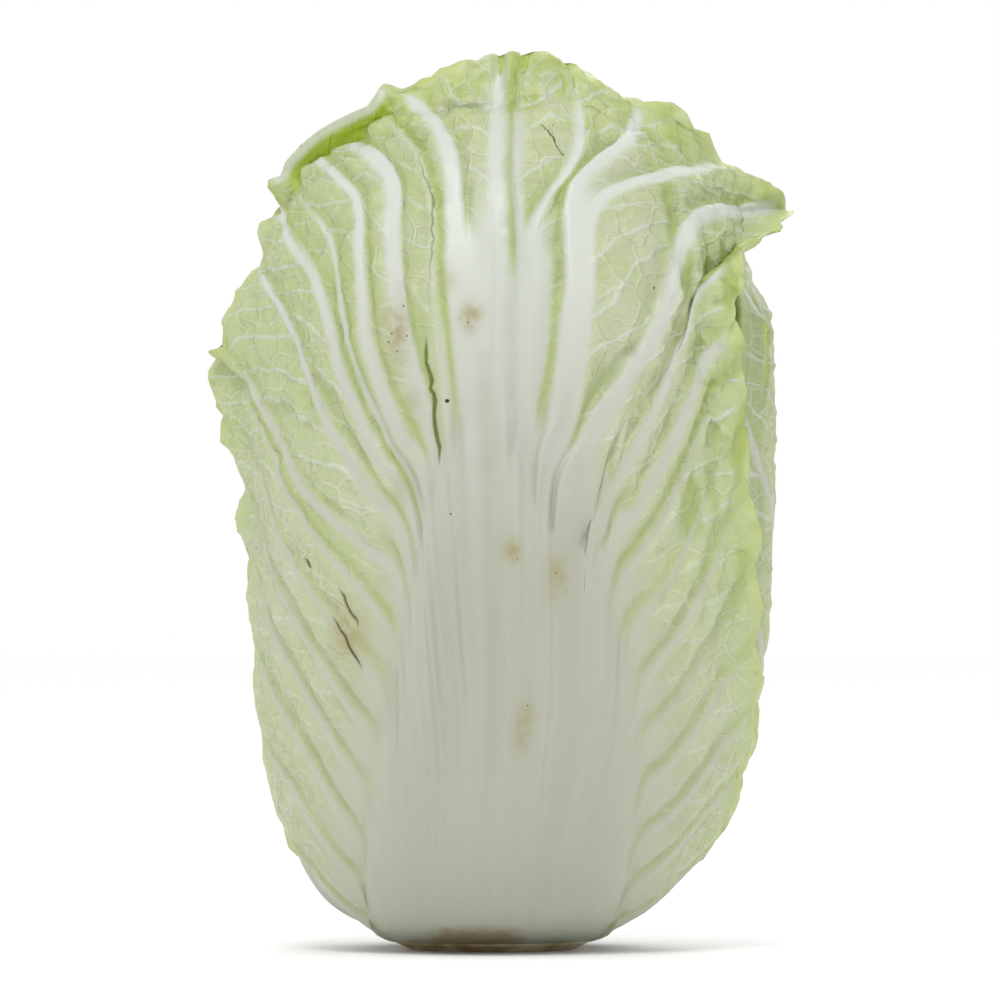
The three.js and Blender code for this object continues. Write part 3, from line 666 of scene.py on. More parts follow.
def swell(leaf, grid, name, shift=0):
    # shift moves the noise sideways, so that one swell can bend another
    s = swells[name]
    x = grid[s.get("over", "flatX")] / s["size"][0] + s["start"][0] + shift
    y = grid["reach"] / s["size"][1] + s["start"][1]
    return s["rise"] * softNoise(x, y, leaf["seed"] + s["seed"])


def ribsOf(leaf, grid, index):
    # height, half-width and colour of one rib at every place beside it
    def of(key):
        return np.array([line[key] for line in leaf["lines"]], float)[index]

    d = leafDetail
    index = np.broadcast_to(index, grid["reach"].shape)
    size = of("size")
    past = grid["reach"] - of("exitReach")
    up = smooth(past, *d["ribStart"])
    share = grid["distance"] / of("length")
    apart = (7.3 * index, 1.7 * index)          # keeps the ribs' unevenness apart in the noise
    length = grid["distance"] / d["unevenLength"]
    uneven = softNoise(apart[0] + length, apart[1] + 0 * share, leaf["seed"] + 16)
    height = size * mix(leafForm["ribRise"], leafForm["ribTipRise"], share ** 2) * up
    height = height * mix(1, d["ribEnd"], smooth(share, *d["ribEndRun"])) * along(d["sizeToHeight"], size)
    width = mix(*d["ribWidth"], np.clip(share, 0, 1) ** 1.5) * along(d["sizeToWidth"], size) * of("broad")
    return {"height": height * (1 + d["unevenRib"] * uneven), "width": width, "up": up, "share": share,
            "past": past, "pastJoined": grid["reach"] - of("joined"), "white": of("white"),
            "pleat": of("pleat")}


def onPetioleAt(grid, fade):
    return 1 - smooth(np.abs(grid["angle"]) / along(petioleEdge, grid["reach"]), *fade)


def besideRibs(leaf, grid):
    # a gentle outer and a steep inner side for each rib, with a groove between them
    d = leafDetail
    g = grid["g"]
    span = grid["span"]
    near = ribsOf(leaf, grid, grid["nearer"])
    far = ribsOf(leaf, grid, grid["further"])
    fromCrest = g * span / np.minimum(near["width"], 0.5 * span + 0.01)
    nearCrest = np.exp(-fromCrest ** d["crestPower"])
    fan = 1 - smooth(np.abs(grid["angle"] - d["fanMiddle"]), *d["fanHalf"])
    # just above the place where the further rib leaves the petiole, all is fuller and gentler
    young = 1 - smooth(far["past"], *d["youngRib"])
    crestHalf = np.minimum(d["crestShare"][0] * far["width"], d["crestShare"][1] * span)
    steep = np.minimum(d["steepWidth"] * mix(1, d["youngSteep"], young), d["steepShare"] * span)
    groovePlace = np.clip(1 - (crestHalf + steep + d["grooveAway"]) / np.maximum(span, 2), *d["grooveRange"])
    grooveWidth = mix(*d["grooveWidth"], far["share"])
    onPetiole = onPetioleAt(grid, d["petioleFade"])
    return {
        "near": near, "far": far, "nearCrest": nearCrest, "young": young,
        "fromNear": g * span,
        "skirted": mix(nearCrest, np.exp(-(fromCrest / d["skirt"][1]) ** 2), d["skirt"][0]),
        "fan": (1 - smooth(grid["reach"], *d["fanTop"])) * fan,
        "farCrest": 1 - smooth((1 - g) * span, crestHalf, crestHalf + steep + 0.01),
        "panel": np.clip(g / groovePlace, 0, 1),
        "groove": np.exp(-(np.abs(g - groovePlace) * span / grooveWidth) ** 2),
        "parted": smooth(grid["gap"], *leafForm["ribParting"]) * smooth(far["pastJoined"], *d["partingRun"]),
        "up": mix(near["up"], far["up"], g),
        "onPetiole": onPetiole * (1 - smooth(grid["reach"], *leafForm["petioleTop"])),
    }


def grooveOn(ribs):
    return smooth(ribs["up"], 0.5, 1) * ribs["parted"]


def ribRelief(leaf, grid, ribs):
    # petiole plateau with its flutes, ribs and the blade between them
    d = leafDetail
    g = grid["g"]
    gap = grid["gap"]
    reach = grid["reach"]
    near, far, young, up, onPetiole = (ribs[key] for key in ("near", "far", "young", "up", "onPetiole"))
    baseReach = leafForm["baseReach"]
    plateau = leafForm["petioleRise"] * onPetiole * smooth(reach, baseReach, baseReach + d["plateauRun"])
    shelf = mix(d["shelf"], d["fanShelf"], ribs["fan"]) * near["height"]
    shelf = shelf * (1 - ribs["panel"]) ** mix(*d["shelfPower"], ribs["fan"])
    filled = np.maximum(1 - smooth(gap, *d["crotchGap"]), d["youngFill"] * young)
    shelf = np.maximum(shelf, d["crotchFill"] * near["height"] * filled)
    bulge = np.minimum(d["panelSwell"] * grid["span"], d["mostSwell"]) * np.sin(ribs["panel"] * math.pi)
    deep = mix(*d["grooveDepth"], far["share"]) * far["pleat"] * smooth(gap, *d["grooveGap"])
    deep = deep * mix(1, d["youngGroove"], young)
    blade = shelf + bulge - deep * ribs["groove"] * grooveOn(ribs)
    ribbed = mix(mix(blade, near["height"], ribs["skirted"]), far["height"], ribs["farCrest"])
    ribbed = np.maximum(ribbed, plateau * (1 - up))
    ridge = np.maximum(plateau * (1 - 0.5 * up), mix(near["height"], far["height"], g))
    flute = d["petioleFlute"] * (swell(leaf, grid, "flute") + swell(leaf, grid, "fineFlute"))
    flute = flute + d["lineFlute"] * np.cos(math.tau * grid["f"]) * smooth(gap, 2, 4)
    relief = mix(ridge, ribbed, ribs["parted"]) + flute * onPetiole * smooth(reach, *d["fluteRun"])
    return relief, ridge


ribTint = {
    "veinHalf": 0.8,               # half-width of the white, as a share of the rib's
    "fanWhite": 0.95,
    "besideWhite": 0.7,            # the blade close beside the petiole
    "besideWidth": (34, 16),       # mm, low down and higher up
    "besideReach": (60, 150),
    "besideTop": (190, 250),
    "crotchGap": (7, 18),
    "crotchGreen": 0.6,
    "plainGroove": 0.35,
    "fleshWidth": (46, 12),
    "fleshReach": (90, 210),
    "fleshTop": (190, 260),
}


def ribMarks(grid, ribs, ridge):
    # where the skin is white, green in a groove and in a narrow crotch (the blade's own green with painted
    # shade in the recess), streaked with painted shade in the valleys between the petiole's flutes, or thick
    # and pale beside the petiole
    t = ribTint
    reach = grid["reach"]
    gap = grid["gap"]
    near, far, parted = ribs["near"], ribs["far"], ribs["parted"]
    nearHalf = t["veinHalf"] * np.minimum(near["width"], 0.5 * grid["span"] + 0.01)
    nearVein = np.exp(-(ribs["fromNear"] / nearHalf) ** 2) * smooth(near["height"], 0, 1) * near["white"]
    farVein = ribs["farCrest"] * smooth(far["height"], 0, 1) * far["white"]
    vein = np.maximum(ribs["onPetiole"], np.maximum(nearVein, farVein))
    allWhite = smooth(ridge, 0.5, 1.5) * mix(near["white"], far["white"], grid["g"])
    vein = mix(np.maximum(vein, allWhite), vein, parted)
    edgeAway = (np.abs(grid["angle"]) - along(petioleEdge, reach)) * radians * petioleRadius
    beside = 1 - smooth(edgeAway, 0, mix(*t["besideWidth"], smooth(reach, *t["besideReach"])))
    beside = beside * (1 - smooth(reach, *t["besideTop"]))
    pale = np.maximum(t["fanWhite"] * ribs["fan"], t["besideWhite"] * beside)
    vein = np.maximum(vein, pale * (1 - ribs["groove"]))
    # the floor of a narrow crotch takes the groove colour: the blade's own green with painted shade in the
    # recess
    inCrotch = 1 - smooth(gap, *t["crotchGap"])
    floor = (1 - ribs["nearCrest"]) * (1 - ribs["farCrest"]) * inCrotch * t["crotchGreen"]
    line = ribs["groove"] * (1 - ribs["farCrest"])
    line = line * mix(t["plainGroove"], 1, np.maximum(inCrotch, smooth(far["pleat"], 1, 2)))
    flesh = 1 - smooth(edgeAway, 2, mix(*t["fleshWidth"], smooth(reach, *t["fleshReach"])))
    return {
        "vein": vein,
        "petiole": onPetioleAt(grid, leafDetail["petioleTone"]),
        "groove": np.maximum(line, floor) * grooveOn(ribs),
        # painted shade in the valleys between the flutes that the lines raise on the petiole
        "streakAndShade": (0.5 - 0.5 * np.cos(math.tau * grid["f"])) * smooth(gap, 2, 5),
        "flesh": flesh * (1 - smooth(reach, *t["fleshTop"])),
        "onBlade": (1 - vein) * parted,
    }


def branchVeins(leaf, grid, fromNear, onBlade, draws):
    # veins that climb from each rib to the next one out
    d = leafDetail
    lower = grid["lower"]
    wander = swell(leaf, grid, "branchBend") + swell(leaf, grid, "branchWaver")
    climb = (grid["distance"] - d["branchClimb"] * fromNear + wander) / d["branchPitch"]
    climb = climb + draws[lower, 0][:, None]
    fromBranch = np.abs(climb - np.round(climb)) * d["branchPitch"] / math.hypot(1, d["branchClimb"])
    branchOn = smooth(grid["span"], 6, 12) * mix(1, 0.5, grid["g"]) * onBlade
    branchOn = branchOn * mix(0.35, 1, smooth(grid["reach"], *d["branchReach"]))
    halfWidth = d["branchWidth"] * mix(1.2, 0.8, grid["g"])
    return climb, branchOn, np.exp(-(fromBranch / halfWidth) ** 2) * branchOn


def bladeDetail(leaf, grid, fromNear, marks):
    # branch veins, pleats, creases and crumple
    d = leafDetail
    flatX, reach, span = grid["flatX"], grid["reach"], grid["span"]
    draws = np.random.default_rng(leaf["seed"]).random((len(leaf["lines"]), 3))
    climb, branchOn, branch = branchVeins(leaf, grid, fromNear, marks["onBlade"], draws)
    crumple = swell(leaf, grid, "crumple") + swell(leaf, grid, "fineCrumple")
    cellX = flatX / d["creaseSize"] + 40 + d["creaseBend"] * crumple
    border = cellEdges(cellX, reach / d["creaseSize"] + 40, leaf["seed"])
    crease = np.minimum(border, d["creaseHalf"]) / d["creaseHalf"]
    pitch, start = (draws[grid["lower"], i][:, None] for i in (1, 2))
    comeIn, whole, goOut, gone = d["pleatSpan"]
    pleats = np.sin(math.tau * (grid["g"] * (1 + 1.2 * pitch) + start))
    pleats = pleats * smooth(span, comeIn, whole) * (1 - smooth(span, goOut, gone))
    fresh = mix(0.3, 1, 1 - marks["flesh"])
    upper = mix(0.7, 1.2, smooth(reach, 150, 300))
    atEdge = smooth(grid["distance"] - grid["length"], *d["edgeRun"]) * smooth(reach, 120, 200)
    onRight = smooth(grid["angle"], *d["rightMargin"])
    upper = upper + d["edgeCrumple"] * atEdge * (1 + d["rightCrumple"] * onRight)
    wrinkle = swell(leaf, grid, "wrinkle", d["wrinkleBend"] * crumple) * smooth(reach, *d["wrinkleReach"])
    rough = d["crumple"] * (0.35 - np.abs(crumple)) + d["crease"] * (0.5 - crease)
    rough = rough + d["crownWrinkle"] * wrinkle
    rough = rough * fresh * upper + d["pleatRise"] * pleats + d["bladeLift"]
    return d["branchRise"] * branch + marks["onBlade"] * rough, climb, branchOn


def slitMarks(leaf, grid):
    # signed distance (mm) across the nearest tear, and how far it gapes there
    across = np.full(grid["reach"].shape, 9.0)
    gape = np.zeros(grid["reach"].shape)
    d = leafDetail
    waver = d["slitWaver"] * softNoise(grid["reach"] / d["slitWaverSize"], 0.3 * grid["flatX"], 77)
    for slit in slits if leaf["bearing"] == 0 else []:
        path = np.array([(angle * radians * flatRadius, reach) for angle, reach in slit["places"]])
        length = np.concatenate([[0], np.cumsum(np.hypot(*np.diff(path, axis=0).T))])
        for start, end, before in zip(path, path[1:], length):
            run = end - start
            toX = grid["flatX"] + waver - start[0]
            toY = grid["reach"] - start[1]
            step = np.clip((toX * run[0] + toY * run[1]) / (run @ run), 0, 1)
            away = np.hypot(toX - step * run[0], toY - step * run[1])
            side = np.where(toX * run[1] - toY * run[0] > 0, 1, -1)
            place = (before + step * math.hypot(*run)) / length[-1]
            nearer = away < np.abs(across)
            across = np.where(nearer, side * away, across)
            here = slit["gape"] * np.sin(math.pi * np.clip(place, 0, 1)) ** d["slitEnds"]
            gape = np.where(nearer, here, gape)
    return across, gape * (1 - smooth(np.abs(across), *d["slitReach"]))


def stainMarks(leaf, grid):
    stained = np.zeros(grid["reach"].shape)
    for stain in [stain for stain in stains if stain.get("leaf", "leaf_1_front") == leaf["name"]]:
        awayX = (grid["flatX"] - stain["at"][0] * radians * flatRadius) / stain["size"][0]
        awayY = (grid["reach"] - stain["at"][1]) / stain["size"][1]
        spot = np.exp(-(awayX ** 2 + awayY ** 2)) * stain["strength"]
        stained = np.maximum(stained, spot)
    return stained


def addFolds(leaf, grid, detail, marks):
    folded = leaf.get("folds", 0) * smooth(grid["angle"], *leafDetail["foldFrom"])
    folded = folded * smooth(grid["reach"], *leafDetail["foldReach"])
    fold = swell(leaf, grid, "fold")
    # the valleys of the folds take the groove colour, painted shade in the folds
    marks["groove"] = np.maximum(marks["groove"], 0.8 * folded * smooth(-fold, 0.15, 0.6))
    return detail + leafDetail["foldRise"] * fold * folded


def marginTurn(leaf, grid):
    # how far the margin rolls outward at each place, and the share of it that is a hollow
    roll = np.array([line["roll"] for line in leaf["lines"]], float)[:, None]
    lower = grid["lower"]
    turn = mix(roll[lower], roll[lower + 1], smooth(grid["f"], 0, 1)) * (1 + swell(leaf, grid, "turn"))
    past = np.maximum(grid["distance"] - grid["rollStart"], 0)
    turned = smooth(turn, *leafDetail["hollowTurn"])
    hollow = turned * smooth(past, *leafDetail["hollowStart"]) * grid["free"]
    return turn, past, turned, hollow


def marginWave(leaf, grid, past):
    # ruffles and waves of the rolled margin, the right side fuller than the rest
    reach = grid["reach"]
    rises, whole, falls, gone = leafDetail["flareReach"]
    lobe = np.sin(math.pi * np.clip(grid["f"], 0, 1)) ** 0.8
    ruffle = swell(leaf, grid, "ruffle") + np.array(leaf["waves"])[grid["lower"]][:, None] * lobe
    rightSide = smooth(grid["angle"], *leafDetail["sideFrom"])
    flared = smooth(reach, rises, whole) * (1 - smooth(reach, falls, gone))
    raised = mix(smooth(reach, 100, 220), 0.5 * smooth(reach, 40, 80) + 0.9 * flared, rightSide)
    inRoll = smooth(past, 2, leafForm["rollLength"])
    return (ruffle + leafDetail["sideLift"] * rightSide) * raised * grid["free"] * inRoll, inRoll


def leafBulge(leaf, grid, marks):
    pitchAround, pitchUp = leafForm["bulgePitch"]
    across = np.sin(grid["bearing"] * pitchAround + leaf["seed"])
    upward = np.sin(grid["reach"] * pitchUp + 2 * leaf["seed"])
    lumps = swell(leaf, grid, "lump") * (1 - marks["petiole"])
    bulge = lumps + leafForm["bulgeRise"] * (0.5 + 0.5 * across * upward)
    return bulge * smooth(grid["reach"], 60, 140) * grid["free"]


# over which turn or angle (degrees), reach or place (mm), or share of the rolled margin, a tint comes in
leafTint = {
    "netFades": (0.3, 0.9),
    "netFaded": 0.7,
    # the painted shade in the hollow pales over this share of the rolled margin
    "hollowEdge": (0.6, 0.95),
    "rimTurn": (30, 50),
    "rimShare": (0.62, 0.86),
    "veinTip": (0.965, 1),
    "rightGreen": 0.7,
    "rightGreenReach": (110, 200),
    "leftGreen": 0.8,
    "leftGreenFrom": (30, 50),
    "leftGreenReach": (180, 230),
    "footMiddle": -5,
    "foot": {"height": (5, 17), "half": (8, 24), "brown": 1},
    "footRim": {"height": (2, 9), "half": (22, 52), "brown": 0.6},
}


def leafMarks(leaf, grid, marks, point, past, turn, hollow):
    # what the skin material reads at each place, on top of what the ribs and the blade gave
    t = leafTint
    angle, reach = grid["angle"], grid["reach"]
    flareShare = past / np.maximum(grid["length"] - grid["rollStart"], 1)
    fromEdge = 1 - t["netFaded"] * smooth(flareShare, *t["netFades"])
    leftSide = angle < 0
    marks["net"] = marks.pop("onBlade") * mix(1, 0.25, marks["flesh"]) * fromEdge
    marks["branch"] = marks["branch"] * fromEdge
    marks["margin"] = smooth(flareShare, 0, 1)
    marks["crown"] = smooth(reach, *headForm["crownReach"])
    # the hollow under a flared margin: the underside's own green with painted shade, darkest deep in the fold
    # and paler towards its rim
    marks["hollow"] = hollow * mix(1, 0.6, smooth(flareShare, *t["hollowEdge"])) * leftSide
    marks["rim"] = smooth(turn, *t["rimTurn"]) * smooth(flareShare, *t["rimShare"]) * grid["free"] * leftSide
    atTip = smooth(grid["distance"] / grid["length"], *t["veinTip"])
    marks["vein"] = marks["vein"] * (1 - hollow) * mix(1, 0.35, atTip)
    marks["shade"] = smooth(grid["covered"], 0.02, 0.3)
    marks["stain"] = stainMarks(leaf, grid)
    onRight = smooth(angle, *leafDetail["sideFrom"]) * smooth(reach, *t["rightGreenReach"])
    onLeft = smooth(-angle, *t["leftGreenFrom"]) * smooth(reach, *t["leftGreenReach"])
    greener = np.maximum(t["rightGreen"] * onRight, t["leftGreen"] * onLeft)
    marks["green"] = mix(leaf["green"], 1.0, greener * (leaf["bearing"] == 0))
    # brown at the foot: dark just left of the middle, paler along the rim beside it
    fromFoot = np.abs(point[..., 0] - t["footMiddle"])
    brown = [(1 - smooth(point[..., 2], *place["height"])) * (1 - smooth(fromFoot, *place["half"]))
             * place["brown"] for place in (t["foot"], t["footRim"])]
    marks["foot"] = np.maximum(*brown)
    marks["place"] = np.stack([grid["flatX"], reach, np.full(reach.shape, leaf["seed"])], -1) / 10
    return marks


def leafSurface(leaf, outerLeaves):
    # outer and inner face of a leaf, and what its skin is like at each place
    d = leafDetail
    grid = layGrid(leaf, outerLeaves)
    ribs = besideRibs(leaf, grid)
    relief, ridge = ribRelief(leaf, grid, ribs)
    marks = ribMarks(grid, ribs, ridge)
    detail, marks["climb"], marks["branch"] = bladeDetail(leaf, grid, ribs["fromNear"], marks)
    marks["slit"], marks["gape"] = slitMarks(leaf, grid)
    detail = detail - d["slitDepth"] * marks["gape"] * np.exp(-(marks["slit"] / d["slitWidth"]) ** 2)
    detail = addFolds(leaf, grid, detail, marks)

    form = grid["form"]
    reach = grid["reach"]
    turn, past, turned, hollow = marginTurn(leaf, grid)
    rollAhead, rollOut, bend = rolledMargin(past, turn * radians * grid["free"])
    wave, inRoll = marginWave(leaf, grid, past)
    jag = (swell(leaf, grid, "jag") + swell(leaf, grid, "fineJag")) * inRoll
    tucked = leaf.get("tuck", 0) * smooth(reach, *d["tuckReach"])

    def vector(values):
        return values[..., None]

    normal = form["normal"] * vector(np.cos(bend)) - grid["ahead"] * vector(np.sin(bend))
    rise = rollOut + leafBulge(leaf, grid, marks) - grid["depth"] - tucked
    point = form["point"] + form["normal"] * vector(rise) + normal * vector(wave)
    point = point + grid["ahead"] * vector(rollAhead - past + jag * np.cos(bend))

    rolled = smooth(past, 0, leafForm["rollLength"])
    awning = smooth(grid["distance"] - grid["rollStart"], -7, -1)
    detail = detail * mix(1, 0.5, rolled)
    relief = mix(relief * (1 - 0.7 * rolled) + detail, 0.3 * (relief + detail) - 0.6, hollow)
    relief = relief + d["lip"] * awning * (1 - hollow) * turned
    relief = np.maximum(relief, d["deepest"] + 0.25 * (relief - d["deepest"]))
    relief = np.maximum(relief, d["floor"])
    flat = np.minimum(relief, leafForm["coveredRelief"])
    relief = mix(relief, flat, smooth(grid["covered"], 0, 0.5))
    petiole = petioleDepth(leaf, grid["bearing"], reach) * (1 - smooth(past, 0, 5))
    outer = point + normal * vector(relief)
    inner = point - normal * leafForm["bladeThickness"] - form["normal"] * vector(petiole)
    return outer, inner, leafMarks(leaf, grid, marks, point, past, turn, hollow)


# ---- meshes

startThickness = 0.1               # of the flat grid that a leaf is made from
keptColumns = 2                    # the smooth inner face keeps every second column and every fourth row
keptRows = 4


def signedVolume(mesh, points):
    mesh.calc_loop_triangles()
    triangles = np.empty(len(mesh.loop_triangles) * 3, np.int32)
    mesh.loop_triangles.foreach_get("vertices", triangles)
    a, b, c = (points[triangles.reshape(-1, 3)[:, i]] for i in range(3))
    return np.einsum("ij,ij->i", a, np.cross(b, c)).sum() / 6


def finishMesh(name, mesh, points, marks, material):
    metres = points * 0.001
    mesh.vertices.foreach_set("co", metres.astype(np.float32).ravel())
    mesh.update()
    if signedVolume(mesh, metres) < 0:
        mesh.flip_normals()
    for key, values in marks.items():
        kind = "FLOAT_VECTOR" if values.ndim == 2 else "FLOAT"
        attribute = mesh.attributes.new(key, kind, "POINT")
        values = values.astype(np.float32).ravel()
        attribute.data.foreach_set("vector" if kind == "FLOAT_VECTOR" else "value", values)
    mesh.polygons.foreach_set("use_smooth", np.ones(len(mesh.polygons), bool))
    mesh.materials.append(material)
    piece = bpy.data.objects.new(name, mesh)
    bpy.context.scene.collection.objects.link(piece)
    return piece


def gridIndex(verts, columns, rows):
    # which column and row each vertex of the flat starting grid stands on, and on which face
    flat = np.array([v.co for v in verts])
    i = np.round((flat[:, 0] + 1) / 2 * (columns - 1)).astype(int)
    j = np.round((flat[:, 1] + 1) / 2 * (rows - 1)).astype(int)
    return i, j, np.abs(flat[:, 2]) > startThickness / 2


def thinInnerFace(bm, columns, rows, bladeRows):
    # most vertices of the inner face are welded to those that it keeps; the rolled margin keeps every row
    i, j, isInner = gridIndex(bm.verts, columns, rows)
    verts = list(bm.verts)
    byPlace = {place: vert for place, vert, inner in zip(zip(i, j), verts, isInner) if inner}
    targets = {}
    for (column, row), vert in byPlace.items():
        keptRow = row if row > bladeRows else row // keptRows * keptRows
        kept = byPlace[column // keptColumns * keptColumns, keptRow]
        if kept is not vert:
            targets[vert] = kept
    bmesh.ops.weld_verts(bm, targetmap=targets)


def makeLeaf(leaf, outerLeaves, material):
    random = seeded(leaf["seed"])
    leaf["waves"] = [mix(*leafForm["waveRise"], random()) for _ in leaf["lines"]]
    outer, inner, marks = leafSurface(leaf, outerLeaves)
    columns, rows = outer.shape[:2]
    bm = bmesh.new()
    bmesh.ops.create_grid(bm, x_segments=columns - 1, y_segments=rows - 1, size=1)
    bmesh.ops.solidify(bm, geom=bm.faces[:], thickness=startThickness)
    thinInnerFace(bm, columns, rows, leaf["rows"][0])
    i, j, isInner = gridIndex(bm.verts, columns, rows)
    mesh = bpy.data.meshes.new(leaf["name"] + "_skin")
    bm.to_mesh(mesh)
    bm.free()
    points = np.where(isInner[:, None], inner[i, j], outer[i, j])
    values = {key: value[i, j] for key, value in marks.items()}
    values["inner"] = isInner.astype(float)
    return finishMesh(leaf["name"] + "_skin", mesh, points, values, material)


heart = {
    "bottomReach": 62,
    "floorHeight": 48,
    "floorShare": 0.02,            # the lowest part of the ball is drawn in to one point on the floor
    "lowestShare": 0.03,
    "columns": 160,
    "rows": 90,
    "tipLeaves": 5,
    "swirl": 1.6,
    "relief": 3.5,
    "crownRise": 7,
    "openReach": (290, 330),       # the leaf tips show above this, inside the outer leaves
    "openFrom": (-20, -6),
}


def makeHeart(material):
    h = heart
    bm = bmesh.new()
    bmesh.ops.create_uvsphere(bm, u_segments=h["columns"], v_segments=h["rows"], radius=1)
    ball = np.array([v.co for v in bm.verts])
    mesh = bpy.data.meshes.new("heart_skin")
    bm.to_mesh(mesh)
    bm.free()
    upward = np.arcsin(np.clip(ball[:, 2], -1, 1)) / math.pi + 0.5
    bearing = np.degrees(np.arctan2(ball[:, 0], -ball[:, 1]))
    share = np.clip((upward - h["lowestShare"]) / (1 - h["lowestShare"]), 0, 1)
    reach = mix(h["bottomReach"], topReach - 1, share)
    form = formAt(bearing, reach)
    depth, _ = depthUnder(leaves, bearing, reach)
    turn = (bearing + (topReach - reach) * h["swirl"]) / 360 * h["tipLeaves"]
    opened = smooth(reach, *h["openReach"])
    for leaf in leaves:
        opened = opened * (1 - smooth(insideBy(leaf, bearing, reach), *h["openFrom"]))
    tips = (h["relief"] * (turn - np.floor(turn)) + h["crownRise"]) * opened
    points = form["point"] + form["normal"] * (tips - depth)[:, None]
    lean = headForm["leanX"] * float(smooth(h["floorHeight"], 0, headForm["leanHeight"]))
    points[upward < h["floorShare"]] = (lean, 0, h["floorHeight"])
    nothing = np.zeros(len(reach))
    marks = {key: nothing for key in ("vein", "petiole", "groove", "flesh", "margin", "inner", "climb",
                                      "branch", "gape", "stain", "foot", "hollow", "rim")}
    marks.update(net=nothing + 1, green=nothing + 0.5, slit=nothing + 9,
                 crown=smooth(reach, *headForm["crownReach"]),
                 place=np.stack([bearing * radians * flatRadius, reach, nothing], -1) / 10)
    return finishMesh("heart_skin", mesh, points, marks, material)


butt = {
    "outline": [(0, 0), (27, 0), (31.7, 2.4), (30, 6), (25, 16), (19, 28), (8, 37), (0, 38)],
    "sides": 96,
}


def makeButt(material):
    bm = bmesh.new()
    verts = [bm.verts.new((r, 0, z)) for r, z in butt["outline"]]
    edges = [bm.edges.new(pair) for pair in zip(verts, verts[1:])]
    bmesh.ops.subdivide_edges(bm, edges=edges, cuts=5)
    bmesh.ops.spin(bm, geom=bm.verts[:] + bm.edges[:], cent=(0, 0, 0), axis=(0, 0, 1), angle=math.tau,
                   steps=butt["sides"], use_merge=True)
    bmesh.ops.remove_doubles(bm, verts=bm.verts[:], dist=0.001)
    bmesh.ops.recalc_face_normals(bm, faces=bm.faces[:])
    mesh = bpy.data.meshes.new("stem_butt_skin")
    bm.to_mesh(mesh)
    bm.free()
    points = np.array([v.co for v in mesh.vertices])
    return finishMesh("stem_butt_skin", mesh, points, {}, material)


# ---- materials

def colour(red, green, blue):
    # screen values from 0 to 255
    shares = [c / 255 for c in (red, green, blue)]
    return (*(c / 12.92 if c <= 0.04045 else ((c + 0.055) / 1.055) ** 2.4 for c in shares), 1)


class NodeBench:
    # short ways to lay the nodes that the skins share

    def __init__(self, nodes, links):
        self.nodes = nodes
        self.links = links

    def plug(self, socket, value):
        if isinstance(value, (tuple, float, int)):
            socket.default_value = value
        else:
            self.links.new(value, socket)

    def attribute(self, name, socket="Fac"):
        node = self.nodes.new("ShaderNodeAttribute")
        node.attribute_name = name
        return node.outputs[socket]

    def blend(self, amount, first, second):
        node = self.nodes.new("ShaderNodeMix")
        node.data_type = "RGBA"
        for index, value in ((0, amount), (6, first), (7, second)):
            self.plug(node.inputs[index], value)
        return node.outputs[2]

    def cover(self, base, layers):
        # each layer is how much of what lies below it is covered, and with which colour
        for amount, tone in layers:
            base = self.blend(amount, base, leafFinish[tone])
        return base

    def maths(self, operation, *values):
        node = self.nodes.new("ShaderNodeMath")
        node.operation = operation
        for socket, value in zip(node.inputs, values):
            self.plug(socket, value)
        return node.outputs[0]

    def times(self, first, *others):
        for other in others:
            first = self.maths("MULTIPLY", first, other)
        return first

    def ranged(self, value, low, high, toLow=0.0, toHigh=1.0):
        node = self.nodes.new("ShaderNodeMapRange")
        node.interpolation_type = "SMOOTHSTEP"
        self.links.new(value, node.inputs["Value"])
        for key, number in (("From Min", low), ("From Max", high), ("To Min", toLow), ("To Max", toHigh)):
            self.plug(node.inputs[key], number)
        return node.outputs["Result"]

    def noise(self, place, scale, detail=3.0, stretch=(1, 1, 1)):
        mapping = self.nodes.new("ShaderNodeMapping")
        mapping.inputs["Scale"].default_value = stretch
        self.links.new(place, mapping.inputs["Vector"])
        node = self.nodes.new("ShaderNodeTexNoise")
        self.links.new(mapping.outputs["Vector"], node.inputs["Vector"])
        node.inputs["Scale"].default_value = scale
        node.inputs["Detail"].default_value = detail
        return node

    def cells(self, place, scale, feature="F1", dimensions="3D"):
        node = self.nodes.new("ShaderNodeTexVoronoi")
        node.feature = feature
        node.voronoi_dimensions = dimensions
        node.inputs["Scale"].default_value = scale
        self.links.new(place, node.inputs["Vector"])
        return node

    def netLines(self, place, scale, low, high):
        # borders between the cells of the flat map
        edges = self.cells(place, scale, "DISTANCE_TO_EDGE", "2D").outputs["Distance"]
        return self.ranged(edges, low, high, 1.0, 0.0)

    def shifted(self, place, by, amount):
        node = self.nodes.new("ShaderNodeMix")
        node.data_type = "VECTOR"
        for index, value in ((0, amount), (4, place), (5, by)):
            self.plug(node.inputs[index], value)
        return node.outputs[1]


def newMaterial(name):
    material = bpy.data.materials.new(name)
    material.use_nodes = True
    tree = material.node_tree
    return material, NodeBench(tree.nodes, tree.links), tree.nodes["Principled BSDF"]


